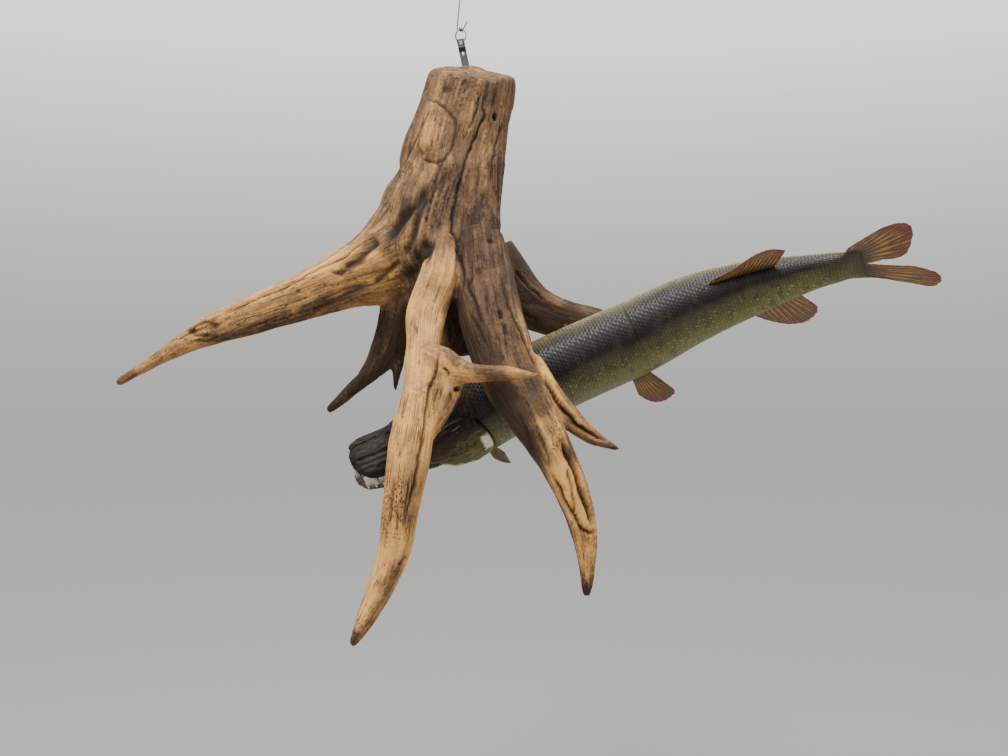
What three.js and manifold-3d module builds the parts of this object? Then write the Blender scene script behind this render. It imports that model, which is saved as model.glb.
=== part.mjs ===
// A pike mounted among the roots of a driftwood stump, hung by a steel strap and a wire.
// Millimetres, +Z up. The wall is the plane y = 0, and everything stands out from it towards -Y.
import * as THREE from "three";
import Module from "manifold-3d";
import { mergeVertices } from "three/addons/utils/BufferGeometryUtils.js";

const wasm = await Module();
wasm.setup();

// Driving dimensions
const GAP = 0.3; // clearance between pieces that touch
const STRAP_WIDTH = 11;
const STRAP_THICKNESS = 2.5;
const STRAP_TOP = 27;
const STRAP_BOTTOM = -62;
const STRAP_TURN = [0, -12, 0]; // degrees
const STRAP_CRANK = 5; // how far the top of the strap stands off the wall
const CRANK_LEVEL = 15;
const RING_HEIGHT = 22; // the level of the hole that the wire passes through
const HOLE_RADIUS = 2.8;
const SLOT_LEVEL = 6.5;
const SCREW_LEVELS = [-28, -50];
const SCREW_HEAD = 2;
const SCREW_LENGTH = 18;
const WIRE_RADIUS = 0.9;
const CORD_START = 41.6; // where the hanging wire leaves the knot
const CORD_END = 94; // where it stops, with its eye above it
const HEAD_LENGTH = 183;
const STALK_END = 738;
const JAW_OPEN = 24; // degrees
const JAW_HINGE = { s: 112, up: -20 };
const JAW_WALL = 4;
const TEETH_EACH_SIDE = 6;
const EYE_RADIUS = 10;

// The sawn top of the stump faces forward and a little to the right, with a rotted hollow in it.
const TOP_FACING = [-0.1, 0.39, -0.91];
const TOP_OFFSET = 10;
const PITH_PLACE = [6, -30, -18];
const PITH_SIZE = [17, 9, 12];

const wood = finish(0xb08a5e, 0.85);
const paleWood = finish(0xc79f6c, 0.85);
const steel = finish(0x4a4846, 0.45, 0.9);
const back = finish(0x4c4a2e, 0.35);
const headSkin = finish(0x3a3226, 0.4);
const finSkin = finish(0xa8632c, 0.5);
const glass = finish(0xb9963a, 0.1);
const mouthSkin = finish(0xb5a79b, 0.5);

const object = new THREE.Group();

function finish(color, roughness, metalness = 0) {
  return new THREE.MeshStandardMaterial({ color, roughness, metalness });
}

// --- Solids from geometry, and back again

function solidOf(geometry) {
  const bare = new THREE.BufferGeometry();
  const loose = geometry.index ? geometry.toNonIndexed() : geometry;
  bare.setAttribute("position", loose.getAttribute("position"));
  const merged = mergeVertices(bare, 1e-3);
  return new wasm.Manifold(
    new wasm.Mesh({
      numProp: 3,
      vertProperties: merged.attributes.position.array,
      triVerts: new Uint32Array(merged.index.array),
    }),
  );
}

function geometryOf(solid) {
  const { numProp, vertProperties, triVerts } = solid.getMesh();
  const positions = new Float32Array(triVerts.length * 3);
  triVerts.forEach((vertex, i) => {
    const start = vertex * numProp;
    positions.set(vertProperties.subarray(start, start + 3), i * 3);
  });
  const geometry = new THREE.BufferGeometry();
  geometry.setAttribute("position", new THREE.BufferAttribute(positions, 3));
  geometry.computeVertexNormals();
  return geometry;
}

function largest(solid) {
  return solid.decompose().reduce((a, b) => (b.volume() > a.volume() ? b : a));
}

function addNode(name, solid, material) {
  const mesh = new THREE.Mesh(geometryOf(largest(solid)), material);
  mesh.name = name;
  object.add(mesh);
}

function averageOf(points) {
  const sum = points.reduce((total, p) => total.add(p), new THREE.Vector3());
  return sum.divideScalar(points.length);
}

// A closed skin over rings of points, each with as many points as the others.
// Each end is closed by a fan to its own middle point.
function skinOver(rings, firstMiddle, lastMiddle) {
  const sides = rings[0].length;
  const positions = [...rings.flat(), firstMiddle, lastMiddle].flatMap((p) => [p.x, p.y, p.z]);
  const first = rings.length * sides;
  const last = first + 1;
  const faces = [];
  for (let side = 0; side < sides; side++) {
    const next = (side + 1) % sides;
    faces.push(first, next, side);
    for (let ring = 0; ring < rings.length - 1; ring++) {
      const here = ring * sides;
      const beyond = here + sides;
      faces.push(here + side, here + next, beyond + next, here + side, beyond + next, beyond + side);
    }
    const end = (rings.length - 1) * sides;
    faces.push(last, end + side, end + next);
  }
  const geometry = new THREE.BufferGeometry();
  geometry.setAttribute("position", new THREE.Float32BufferAttribute(positions, 3));
  geometry.setIndex(faces);
  const solid = solidOf(geometry);
  if (solid.volume() > 0) return solid;
  for (let i = 0; i < faces.length; i += 3) [faces[i], faces[i + 1]] = [faces[i + 1], faces[i]];
  geometry.setIndex(faces);
  return solidOf(geometry);
}

// --- Wood: each limb is a fluted tube of oval sections, smooth through its stations.
// A station is its place x, y, z, its half width across the front view and its half depth.

function limb({ stations, sides = 10, rings = 2, flutes = 3, fluteDepth = 0.06, turn = 1 }, grow = 0) {
  const route = new THREE.CatmullRomCurve3(stations.map(([x, y, z]) => new THREE.Vector3(x, y, z)));
  const girth = new THREE.CatmullRomCurve3(
    stations.map(([, , , wide, deep]) => new THREE.Vector3(wide, deep, 0)),
  );
  const count = (stations.length - 1) * rings;
  const towardsWall = new THREE.Vector3(0, 1, 0);
  const made = [];
  for (let i = 0; i <= count; i++) {
    const t = i / count;
    const middle = route.getPoint(t);
    const along = route.getTangent(t);
    const size = girth.getPoint(t);
    const across = new THREE.Vector3().crossVectors(along, towardsWall).normalize();
    const inward = new THREE.Vector3().crossVectors(across, along);
    made.push(
      Array.from({ length: sides }, (_, side) => {
        const angle = (side / sides) * 2 * Math.PI;
        const flute = 1 + fluteDepth * Math.cos(flutes * angle + turn * t * stations.length);
        return middle
          .clone()
          .addScaledVector(across, (size.x * flute + grow) * Math.cos(angle))
          .addScaledVector(inward, (size.y * flute + grow) * Math.sin(angle));
      }),
    );
  }
  const start = route.getPoint(0).addScaledVector(route.getTangent(0), -grow);
  const tip = route.getPoint(1).addScaledVector(route.getTangent(1), girth.getPoint(1).x * 0.6 + grow);
  return skinOver(made, start, tip);
}

const trunk = {
  stations: [
    [14, -54, 5, 50, 42],
    [12, -56, -52, 64, 49],
    [-3, -64, -121, 68, 54],
    [-12, -72, -165, 75, 58],
    [-15, -82, -208, 74, 64],
    [-27, -92, -250, 87, 70],
    [-30, -104, -300, 86, 73],
    [-14, -113, -345, 72, 68],
    [0, -120, -388, 56, 58],
    [2, -122, -424, 38, 42],
  ],
  sides: 16,
  flutes: 5,
  fluteDepth: 0.04,
  turn: 0.5,
};

// The left root's shoulder, which runs down into it from the trunk.
const leftShoulder = {
  stations: [
    [-56, -80, -168, 22, 32],
    [-68, -88, -206, 29, 38],
    [-85, -97, -250, 31, 40],
    [-118, -110, -292, 29, 37],
    [-156, -120, -330, 30, 32],
  ],
};

const leftRoot = {
  stations: [
    [-60, -112, -292, 48, 50],
    [-105, -116, -320, 54, 46],
    [-161, -122, -342.5, 41.5, 38],
    [-222, -130, -369, 34, 32],
    [-290, -138, -395, 28, 27],
    [-340, -146, -414, 22, 22],
    [-369, -150, -429, 15, 15],
    [-410, -155, -453, 9, 9.5],
    [-460, -160, -484, 5, 5],
  ],
  flutes: 4,
  turn: 0.6,
};

const backLeftRoot = {
  stations: [
    [-80, -98, -360, 34, 34],
    [-90, -90, -400, 28, 30],
    [-106, -76, -440, 25, 26],
    [-131, -62, -470, 15, 18],
    [-161, -52, -497, 10, 12],
    [-193, -43, -524, 4.5, 5],
  ],
};

const backLeftSpur = {
  stations: [
    [-92, -88, -420, 14, 16],
    [-91, -84, -455, 9, 10],
    [-95, -82, -494, 2, 2.5],
  ],
  sides: 6,
};

const frontLeftRoot = {
  stations: [
    [-20, -150, -300, 24, 30],
    [-28, -182, -345, 27, 30],
    [-42, -212, -395, 27, 29],
    [-44, -240, -440, 23, 28],
    [-46, -274, -495, 21, 27],
    [-54, -298, -558, 27, 28],
    [-64, -308, -628, 24.5, 27],
    [-74, -308, -692, 21, 24],
    [-87.5, -312, -730, 18.5, 19],
    [-108, -322, -774, 12.5, 12.5],
    [-120, -330, -796, 5, 5],
  ],
  turn: 0.35,
};

const crossSpur = {
  stations: [
    [-34, -258, -452, 18, 20],
    [-14, -272, -462, 19, 19],
    [4, -284, -470, 15, 15],
    [24, -293, -474, 10, 11],
    [62, -303, -474, 7.5, 8],
    [98, -310, -477, 2.5, 3],
  ],
  sides: 8,
};

const crossWeb = {
  stations: [
    [-12, -270, -456, 16, 14],
    [-12, -276, -482, 22, 15],
    [-18, -284, -508, 21, 13],
    [-30, -292, -535, 16, 10],
    [-40, -298, -562, 8, 7],
  ],
  sides: 8,
};

const frontRightRoot = {
  stations: [
    [24, -138, -290, 36, 40],
    [32, -172, -350, 41, 38],
    [48, -218, -420, 41, 33],
    [66, -250, -474, 38, 28],
    [90, -266, -520, 33, 28],
    [114.5, -272, -560, 28.5, 27],
    [145.5, -273, -624, 23, 23],
    [162.5, -269, -686, 16.5, 17],
    [165, -265, -718, 10.5, 12],
    [165, -262, -749, 5, 5],
  ],
  flutes: 4,
  turn: 0.4,
};

const rightSpur = {
  stations: [
    [92, -238, -458, 16, 18],
    [112, -242, -488, 16, 18],
    [142, -250, -528, 16, 17],
    [170, -253, -553, 10, 11],
    [202, -256, -569, 2.5, 3],
  ],
  sides: 8,
};

const backRightRoot = {
  stations: [
    [40, -76, -300, 34, 36],
    [68, -62, -345, 38, 36],
    [98, -52, -374, 35, 34],
    [142, -46, -393, 31, 31],
    [196, -42, -405, 27, 26],
    [230, -36, -415, 17, 17],
  ],
  flutes: 4,
};

// Each limb gives way to those before it, so that no two fill the same space.
function addWood() {
  const cutStump = limb(trunk, GAP).add(limb(leftShoulder, GAP));
  const pith = solidOf(new THREE.SphereGeometry(1, 8, 6).scale(...PITH_SIZE)).translate(PITH_PLACE);
  const whole = limb(trunk).add(limb(leftShoulder));
  const stump = whole.trimByPlane(TOP_FACING, TOP_OFFSET).subtract(pith);
  const bored = SCREW_LEVELS.reduce((left, level) => left.subtract(screwSolid(level, GAP)), stump);
  addNode("stump", bored.trimByPlane([0, -1, 0], STRAP_THICKNESS + GAP), wood);
  addNode("root_left", limb(leftRoot).subtract(cutStump), paleWood);

  const frontLeft = limb(frontLeftRoot).subtract(cutStump);
  addNode("root_front_left", frontLeft, paleWood);
  const cutLeft = cutStump.add(limb(frontLeftRoot, GAP));

  const frontRight = limb(frontRightRoot).subtract(cutLeft);
  addNode("root_front_right", frontRight, wood);
  const cutRight = cutLeft.add(limb(frontRightRoot, GAP));

  addNode("cross_spur", limb(crossSpur).add(limb(crossWeb)).subtract(cutRight), wood);
  addNode("root_right_spur", limb(rightSpur).subtract(cutRight), wood);
  addNode("root_back_right", limb(backRightRoot).subtract(cutRight), wood);

  const backLeft = limb(backLeftRoot).add(limb(backLeftSpur));
  addNode("root_back_left", backLeft.subtract(cutRight).subtract(limb(leftRoot, GAP)), wood);
}

// --- The pike, first drawn straight, then bent along its spine.
// A straight point has s, the distance behind the snout, and its distances left and up from the spine.

const spine = new THREE.CatmullRomCurve3(
  [
    [-141, -204, -592],
    [-74, -184, -568],
    [-4, -166, -541],
    [60, -156, -508],
    [147, -150, -466],
    [239, -150, -425],
    [313, -158, -388],
    [373, -172, -366],
    [440, -195, -347],
    [512, -221, -333],
    [580, -244, -329],
  ].map(([x, y, z]) => new THREE.Vector3(x, y, z)),
);
spine.arcLengthDivisions = 400;

const smooth = (table) =>
  new THREE.CubicInterpolant(
    table.map(([s]) => s),
    table.flatMap(([, ...values]) => values),
    table[0].length - 1,
    new Float32Array(table[0].length - 1),
  );

// How far the back is turned up towards the viewer, in degrees above the fish's own level.
const roll = smooth([
  [0, 64],
  [300, 69],
  [550, 64],
  [820, 55],
]);

function bend(s, left, up) {
  const t = THREE.MathUtils.clamp(s / spine.getLength(), 0, 1);
  const tailward = spine.getTangentAt(t);
  const middle = spine.getPointAt(t).addScaledVector(tailward, s - t * spine.getLength());
  const viewer = new THREE.Vector3(0, -1, 0).addScaledVector(tailward, tailward.y).normalize();
  const above = new THREE.Vector3().crossVectors(viewer, tailward);
  const angle = THREE.MathUtils.degToRad(roll.evaluate(s)[0]);
  const dorsal = viewer.multiplyScalar(Math.sin(angle)).addScaledVector(above, Math.cos(angle));
  const side = new THREE.Vector3().crossVectors(tailward, dorsal);
  return middle.addScaledVector(side, left).addScaledVector(dorsal, up);
}

// The axes s, left and up are left-handed, so a solid is mirrored as it is bent.
function bendSolid(solid) {
  const geometry = geometryOf(mirrored(solid));
  const positions = geometry.getAttribute("position");
  for (let i = 0; i < positions.count; i++) {
    const p = bend(positions.getX(i), -positions.getY(i), positions.getZ(i));
    positions.setXYZ(i, p.x, p.y, p.z);
  }
  return solidOf(geometry);
}

// Sections of the body: s, half width, top and bottom.
const bodyShape = smooth([
  [0, 12, 3, -4],
  [5, 22, 6, -8],
  [16, 30, 8, -11],
  [40, 33, 11, -14],
  [62, 35, 17, -17],
  [82, 38, 26, -21],
  [108, 43, 33, -30],
  [126, 49, 40, -48],
  [150, 52, 49, -57],
  [HEAD_LENGTH, 51, 58, -61],
  [250, 49, 64, -67],
  [330, 48, 66, -68],
  [430, 46, 64, -66],
  [500, 42, 58, -59],
  [560, 36, 50, -48],
  [620, 28, 40, -38],
  [670, 19, 30, -29],
  [705, 14, 26, -26],
  [STALK_END, 7, 31, -31],
]);

const jawShape = smooth([
  [0, 10, -7, -13],
  [5, 18, -6, -18],
  [18, 25, -9, -23],
  [50, 28, -13, -29],
  [90, 33, -17, -38],
  [124, 38, -21, -46],
]);

// A point on a section, angle counted from the left side upwards; off is the distance outside it.
function onSection(shape, s, angle, off = 0) {
  const [halfWidth, top, bottom] = shape.evaluate(s);
  const across = Math.cos(angle);
  const rise = Math.sin(angle);
  const round = (value) => Math.sign(value) * Math.abs(value) ** 0.88;
  return new THREE.Vector3(
    s,
    (halfWidth + off) * round(across),
    (top + bottom) / 2 + ((top - bottom) / 2 + off) * round(rise),
  );
}

function length(shape, from, to, { rings, sides = 14, off = 0, ends = [0, 0] }) {
  const made = [];
  for (let i = 0; i <= rings; i++) {
    const s = THREE.MathUtils.lerp(from, to, i / rings);
    made.push(
      Array.from({ length: sides }, (_, side) => onSection(shape, s, (side / sides) * 2 * Math.PI, off)),
    );
  }
  const middleOf = (s, out) => {
    const [, top, bottom] = shape.evaluate(s);
    return new THREE.Vector3(s + out, 0, (top + bottom) / 2);
  };
  return skinOver(made, middleOf(from, -ends[0]), middleOf(to, ends[1]));
}

// A plate that follows the body's surface, from the depth inner to the height outer over it.
function thickPatch({ sFrom, sTo, low, high, inner, outer, rows = 4, columns = 5 }) {
  const grid = (off) =>
    Array.from({ length: columns + 1 }, (_, column) => {
      const angle = THREE.MathUtils.lerp(low, high, column / columns);
      const bulge = Math.sin((column / columns) * Math.PI);
      const rear = sTo - 14 * (1 - bulge);
      return Array.from({ length: rows + 1 }, (_, row) =>
        onSection(bodyShape, THREE.MathUtils.lerp(sFrom, rear, row / rows), angle, off),
      );
    });
  const under = grid(-inner);
  const over = grid(outer);
  const loops = under.map((line, i) => [...line, ...over[i].toReversed()]);
  return skinOver(loops, averageOf(loops[0]), averageOf(loops.at(-1)));
}

const coverPatch = { sFrom: 132, sTo: 180, low: -0.95, high: 0.75, inner: 4, outer: 3 };

function mirrored(solid) {
  return solid.mirror([0, 1, 0]);
}

function addHead() {
  const head = length(bodyShape, 0, HEAD_LENGTH - GAP, { rings: 12, ends: [2, 0] });
  const mouth = length(bodyShape, 3, 126, { rings: 8, off: -3 }).intersect(
    length(jawShape, 0, 124, { rings: 7 }).translate([0, 0, 4]),
  );
  const cover = thickPatch(coverPatch);
  const coverRoom = thickPatch({
    ...coverPatch,
    sFrom: coverPatch.sFrom - GAP,
    sTo: coverPatch.sTo + GAP,
    low: coverPatch.low - 0.008,
    high: coverPatch.high + 0.008,
    inner: coverPatch.inner + GAP,
  });
  const eye = solidOf(new THREE.SphereGeometry(EYE_RADIUS, 8, 6)).translate([80, 27, 13]);
  const eyeRoom = solidOf(new THREE.SphereGeometry(EYE_RADIUS + GAP, 8, 6)).translate([80, 27, 13]);
  const skull = head
    .subtract(mouth)
    .subtract(coverRoom)
    .subtract(mirrored(coverRoom))
    .subtract(eyeRoom)
    .subtract(mirrored(eyeRoom));
  addNode("skull", bendSolid(largest(skull)), headSkin);
  addNode("gill_cover_left", bendSolid(head.intersect(cover)), headSkin);
  addNode("gill_cover_right", bendSolid(head.intersect(mirrored(cover))), headSkin);
  addNode("left_eye", bendSolid(eye), glass);
  addNode("right_eye", bendSolid(mirrored(eye)), glass);
  addLowerJaw();
}

// The jaw is drawn shut and swung open about its hinge, which lowers its tip.
function swing(solid) {
  return solid
    .translate([-JAW_HINGE.s, 0, -JAW_HINGE.up])
    .rotate([0, -JAW_OPEN, 0])
    .translate([JAW_HINGE.s, 0, JAW_HINGE.up]);
}

function addLowerJaw() {
  const shut = length(jawShape, 0, 118, { rings: 6, ends: [1, 4] });
  const scoop = (off) =>
    length(jawShape, 7, 116, { rings: 5, off: off - JAW_WALL }).translate([0, 0, JAW_WALL + 2]);
  let jaw = shut.subtract(scoop(0));
  for (let i = 0; i < TEETH_EACH_SIDE; i++) {
    const s = 14 + i * 11;
    const [halfWidth, top] = jawShape.evaluate(s);
    const cone = new THREE.ConeGeometry(2, 9, 4).rotateX(Math.PI / 2);
    const tooth = solidOf(cone).translate([s, halfWidth - 3.5, top - 1]);
    jaw = jaw.add(tooth).add(mirrored(tooth));
  }
  const headRoom = length(bodyShape, 0, HEAD_LENGTH, { rings: 12, off: GAP, ends: [2, 0] });
  addNode("lower_jaw", bendSolid(largest(swing(jaw).subtract(headRoom))), headSkin);

  const bulb = new THREE.SphereGeometry(1, 10, 6).scale(34, 9, 4);
  const jawRoom = length(jawShape, 0, 118, { rings: 7, off: GAP, ends: [1, 4] });
  const tongue = solidOf(bulb).translate([58, 0, -17]).subtract(jawRoom.subtract(scoop(-GAP)));
  addNode("tongue", bendSolid(largest(swing(largest(tongue)).subtract(headRoom))), mouthSkin);
}

function addTrunk() {
  const cuts = [
    ["trunk_front", HEAD_LENGTH, 300],
    ["trunk_middle", 300, 480],
    ["trunk_rear", 480, 640],
    ["tail_stalk", 640, STALK_END],
  ];
  for (const [name, from, to] of cuts) {
    addNode(name, bendSolid(length(bodyShape, from, to - GAP, { rings: 5 })), back);
  }
}

// --- Fins: each fans out between its root line and its edge line, with a ray at every other column.

function fin({ root, edge, rays, rows = 2, ray = 1.6, web = 0.9 }) {
  const line = (points) =>
    new THREE.CatmullRomCurve3(points.map(([s, left, up]) => new THREE.Vector3(s, left, up)));
  const rootLine = line(root);
  const edgeLine = line(edge);
  const columns = rays * 2;
  const middle = (column, row) => {
    const t = THREE.MathUtils.clamp(column / columns, 0, 1);
    return rootLine.getPoint(t).lerp(edgeLine.getPoint(t), row / rows);
  };
  const loops = [];
  for (let column = 0; column <= columns; column++) {
    const outward = middle(column, rows).sub(middle(column, 0));
    const loop = [];
    for (let row = 0; row <= rows; row++) {
      const here = middle(column, row);
      const onward = middle(column + 1, row).sub(middle(column - 1, row));
      const half = ((column % 2 ? ray : web) / 2) * (1 - 0.35 * (row / rows));
      const aside = new THREE.Vector3().crossVectors(outward, onward).setLength(half);
      loop.push(here.clone().add(aside));
      loop.unshift(here.clone().sub(aside));
    }
    loops.push(loop);
  }
  return skinOver(loops, averageOf(loops[0]), averageOf(loops.at(-1)));
}

function addFins() {
  const room = length(bodyShape, HEAD_LENGTH - 30, STALK_END - GAP, {
    rings: 20,
    off: GAP,
    ends: [0, GAP],
  });
  const fins = {
    dorsal_fin: fin({
      root: [[532, 0, 46], [580, 0, 40], [626, 0, 33]],
      edge: [[545, 0, 60], [585, 2, 74], [618, 3, 86], [637, 3, 85], [650, 2, 72]],
      rays: 10,
    }),
    anal_fin: fin({
      root: [[568, 0, -40], [606, 0, -34], [640, 0, -28]],
      edge: [[572, 6, -54], [594, 11, -84], [620, 15, -99], [648, 16, -96], [666, 14, -72], [660, 11, -54]],
      rays: 10,
    }),
    pelvic_fin_left: fin({
      root: [[398, 26, -50], [406, 24, -51], [416, 20, -52]],
      edge: [[399, 52, -74], [407, 60, -90], [418, 65, -99], [430, 67, -101], [440, 65, -90], [432, 50, -62]],
      rays: 6,
    }),
    pelvic_fin_right: fin({
      root: [[398, -26, -50], [406, -24, -51], [416, -20, -52]],
      edge: [[420, -30, -84], [436, -30, -96], [452, -28, -94], [456, -24, -78]],
      rays: 6,
    }),
    pectoral_fin_left: pectoral(),
    pectoral_fin_right: mirrored(pectoral()),
    caudal_fin: tailFin(),
  };
  for (const [name, blade] of Object.entries(fins)) {
    addNode(name, bendSolid(largest(blade.subtract(room))), finSkin);
  }
}

function pectoral() {
  return fin({
    root: [[175, 38, -42], [179, 37, -43], [184, 36, -43]],
    edge: [[177, 48, -58], [185, 53, -76], [191, 55, -87], [195, 55, -79], [192, 51, -50]],
    rays: 5,
  });
}

// Two lobes that meet in the fork; the lower one is longer, because the tail turns upwards.
function tailFin() {
  const upper = fin({
    root: [[714, 0, 24], [728, 0, 14], [736, 0, -1]],
    edge: [[720, 0, 37], [745, 0, 57], [767, 1, 72], [789, 2, 75], [797, 3, 65], [796, 4, 40], [789, 4, 19],
      [776, 3, 11], [756, 2, 7], [747, 0, 1]],
    rays: 7,
  });
  const lower = fin({
    root: [[714, 0, -22], [728, 0, -14], [736, 0, 1]],
    edge: [[724, 0, -31], [752, -2, -35], [776, -6, -46], [801, -10, -62], [824, -13, -72], [833, -13, -64],
      [832, -12, -50], [819, -9, -36], [800, -7, -22], [771, -3, -11], [747, 0, -1]],
    rays: 7,
  });
  return upper.add(lower);
}

// --- The hanger: a drilled strap screwed to the back of the stump, and the wire in its top hole.

// The strap is drawn as its side profile, cranked forward at the top, then drilled.
function strapSolid() {
  const profile = [
    [0, STRAP_BOTTOM],
    [0, CRANK_LEVEL - 5],
    [-STRAP_CRANK, CRANK_LEVEL],
    [-STRAP_CRANK, STRAP_TOP],
    [-STRAP_CRANK - STRAP_THICKNESS, STRAP_TOP],
    [-STRAP_CRANK - STRAP_THICKNESS, CRANK_LEVEL - 1],
    [-STRAP_THICKNESS, CRANK_LEVEL - 6],
    [-STRAP_THICKNESS, STRAP_BOTTOM],
  ];
  const shape = new THREE.Shape(profile.map(([y, z]) => new THREE.Vector2(y, z)));
  const bar = new THREE.ExtrudeGeometry(shape, { depth: STRAP_WIDTH, bevelEnabled: false });
  const [x, y, z] = [new THREE.Vector3(1, 0, 0), new THREE.Vector3(0, 1, 0), new THREE.Vector3(0, 0, 1)];
  bar.applyMatrix4(new THREE.Matrix4().makeBasis(y, z, x)).translate(-STRAP_WIDTH / 2, 0, 0);
  const holes = [
    [RING_HEIGHT, HOLE_RADIUS, HOLE_RADIUS],
    [SLOT_LEVEL, 1.5, 3],
    ...SCREW_LEVELS.map((level) => [level, SCREW_HEAD + GAP, SCREW_HEAD + GAP]),
  ];
  return holes.reduce((strap, [level, across, tall]) => {
    const drill = new THREE.CylinderGeometry(1, 1, 40, 12).scale(across, 1, tall);
    return strap.subtract(solidOf(drill).translate([0, 0, level]));
  }, solidOf(bar));
}

// A screw lies along Y, its head flush with the strap's back and its shank in the wood.
function screwSolid(level, grow = 0) {
  const profile = [
    [0, -SCREW_LENGTH - grow],
    [1.4 + grow, -SCREW_LENGTH - grow],
    [1.4 + grow, -STRAP_THICKNESS],
    [SCREW_HEAD + grow, -STRAP_THICKNESS + 0.4],
    [SCREW_HEAD + grow, -0.4],
    [0, -0.4],
  ];
  const lathe = new THREE.LatheGeometry(profile.map(([r, y]) => new THREE.Vector2(r, y)), 10);
  return solidOf(lathe).translate([0, 0, level]).rotate(STRAP_TURN);
}

function addHanger() {
  addNode("hanger_strap", strapSolid().rotate(STRAP_TURN), steel);
  SCREW_LEVELS.forEach((level, i) => addNode("hanger_screw_" + (i + 1), screwSolid(level), steel));
  addWire();
}

function rodAlong(points, { radius = WIRE_RADIUS, steps, sides = 6 }) {
  const section = new THREE.Shape(
    Array.from({ length: sides }, (_, i) => {
      const angle = (i / sides) * 2 * Math.PI;
      return new THREE.Vector2(radius * Math.cos(angle), radius * Math.sin(angle));
    }),
  );
  const extrudePath = new THREE.CatmullRomCurve3(
    points.map(([x, y, z]) => new THREE.Vector3(x, y, z)),
  );
  return solidOf(new THREE.ExtrudeGeometry(section, { steps, extrudePath, bevelEnabled: false }));
}

// The wire comes down to the knot, runs as a ring through the strap's hole, winds round the top
// of the ring, and its free end stands up. Above the knot it is the cord that all hangs by.
function addWire() {
  const y = -STRAP_CRANK - STRAP_THICKNESS / 2;
  const ring = [
    [-4.9, y + 0.4, RING_HEIGHT - 1],
    [-6.4, y + 3.5, 22],
    [-10.8, y + 4, 26],
    [-12.2, y + 2, 33],
    [-9.6, y + 0.5, 39],
    [-4.4, y - 0.5, 40.5],
    [0.6, y - 1.5, 38],
    [3.4, y - 3.5, 31],
    [1.4, y - 4.2, 24],
    [-2.8, y - 3.5, 21],
    [-4.3, y - 0.4, RING_HEIGHT - 1],
  ];
  addNode("wire_loop", rodAlong(ring, { steps: 18 }), steel);

  const turns = 2;
  const coil = Array.from({ length: turns * 8 + 1 }, (_, i) => {
    const angle = (i / 8) * 2 * Math.PI;
    return [-7 + (i / 8) * 2.4, y - 0.5 + 2.4 * Math.cos(angle), 40.3 + 2.4 * Math.sin(angle)];
  });
  const freeEnd = [
    [-0.4, y + 1.6, 43],
    [1.8, y + 1, 47],
    [4.4, y + 1, 53],
  ];
  addNode("wire_knot", rodAlong([...coil, ...freeEnd], { steps: 20, sides: 5 }), steel);

  const route = [
    [-10, y + 0.5, CORD_START],
    [-9.2, y + 0.5, 52],
    [-7.8, y, 68],
    [-5.7, y, 84],
    [-4.6, y, CORD_END],
  ];
  addNode("hanging_wire", rodAlong(route, { steps: 8, sides: 8 }), steel);
  const eye = solidOf(new THREE.TorusGeometry(2.8, WIRE_RADIUS, 6, 12));
  const eyeLevel = CORD_END + GAP + WIRE_RADIUS + 2.8;
  addNode("wire_eye", eye.rotate([90, 0, 0]).translate([-4.6, y, eyeLevel]), steel);
}

// The one screw that shows, from the back root into the fish's far side.
function addFishScrew() {
  const screw = rodAlong([[147, -62, -400], [151, -112, -430]], { radius: 5, steps: 1, sides: 10 });
  const fishRoom = bendSolid(length(bodyShape, 290, 350, { rings: 3, off: GAP }));
  const made = largest(screw.subtract(fishRoom).subtract(limb(backRightRoot, GAP)));
  addNode("fish_screw", made, steel);
}

addWood();
addHead();
addTrunk();
addFins();
addHanger();
addFishScrew();

export default object;
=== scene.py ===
import math

import bmesh
import bpy
import numpy as np
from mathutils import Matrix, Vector


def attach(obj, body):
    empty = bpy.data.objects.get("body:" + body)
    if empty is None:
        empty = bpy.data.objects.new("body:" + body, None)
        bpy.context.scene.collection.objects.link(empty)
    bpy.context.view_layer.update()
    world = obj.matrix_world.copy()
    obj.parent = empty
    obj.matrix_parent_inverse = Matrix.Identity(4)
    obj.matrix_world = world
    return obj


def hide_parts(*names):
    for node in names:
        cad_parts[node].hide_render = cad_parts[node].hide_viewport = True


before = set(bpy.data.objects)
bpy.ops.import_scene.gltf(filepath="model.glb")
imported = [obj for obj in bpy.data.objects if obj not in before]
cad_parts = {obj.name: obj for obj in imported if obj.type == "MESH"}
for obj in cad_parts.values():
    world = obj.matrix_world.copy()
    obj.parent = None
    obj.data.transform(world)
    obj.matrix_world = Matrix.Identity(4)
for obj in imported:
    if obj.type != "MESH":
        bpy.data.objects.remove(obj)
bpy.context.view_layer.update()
mm = 0.001


# Meshes: making them, working on them, and reading and writing their points as arrays.


def selectOnly(*objs):
    bpy.ops.object.select_all(action="DESELECT")
    for obj in objs:
        obj.select_set(True)
    bpy.context.view_layer.objects.active = objs[0]


def makeObject(name, points, faces):
    mesh = bpy.data.meshes.new(name)
    mesh.from_pydata(np.asarray(points).tolist(), [], faces)
    mesh.update()
    obj = bpy.data.objects.new(name, mesh)
    bpy.context.collection.objects.link(obj)
    return obj


def applyModifier(obj, kind, **settings):
    selectOnly(obj)
    modifier = obj.modifiers.new(kind.title(), kind)
    for key, value in settings.items():
        setattr(modifier, key, value)
    bpy.ops.object.modifier_apply(modifier=modifier.name)


def joinObjects(name, objs):
    selectOnly(*objs)
    bpy.ops.object.join()
    objs[0].name = name
    return objs[0]


def cutAway(obj, cutter, how="DIFFERENCE"):
    applyModifier(obj, "BOOLEAN", operation=how, solver="EXACT", object=cutter)
    bpy.data.objects.remove(cutter)


def pointsOf(obj):
    flat = np.zeros(len(obj.data.vertices) * 3)
    obj.data.vertices.foreach_get("co", flat)
    return flat.reshape(-1, 3)


def setPoints(obj, points):
    obj.data.vertices.foreach_set("co", np.asarray(points, float).ravel())
    obj.data.update()


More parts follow.
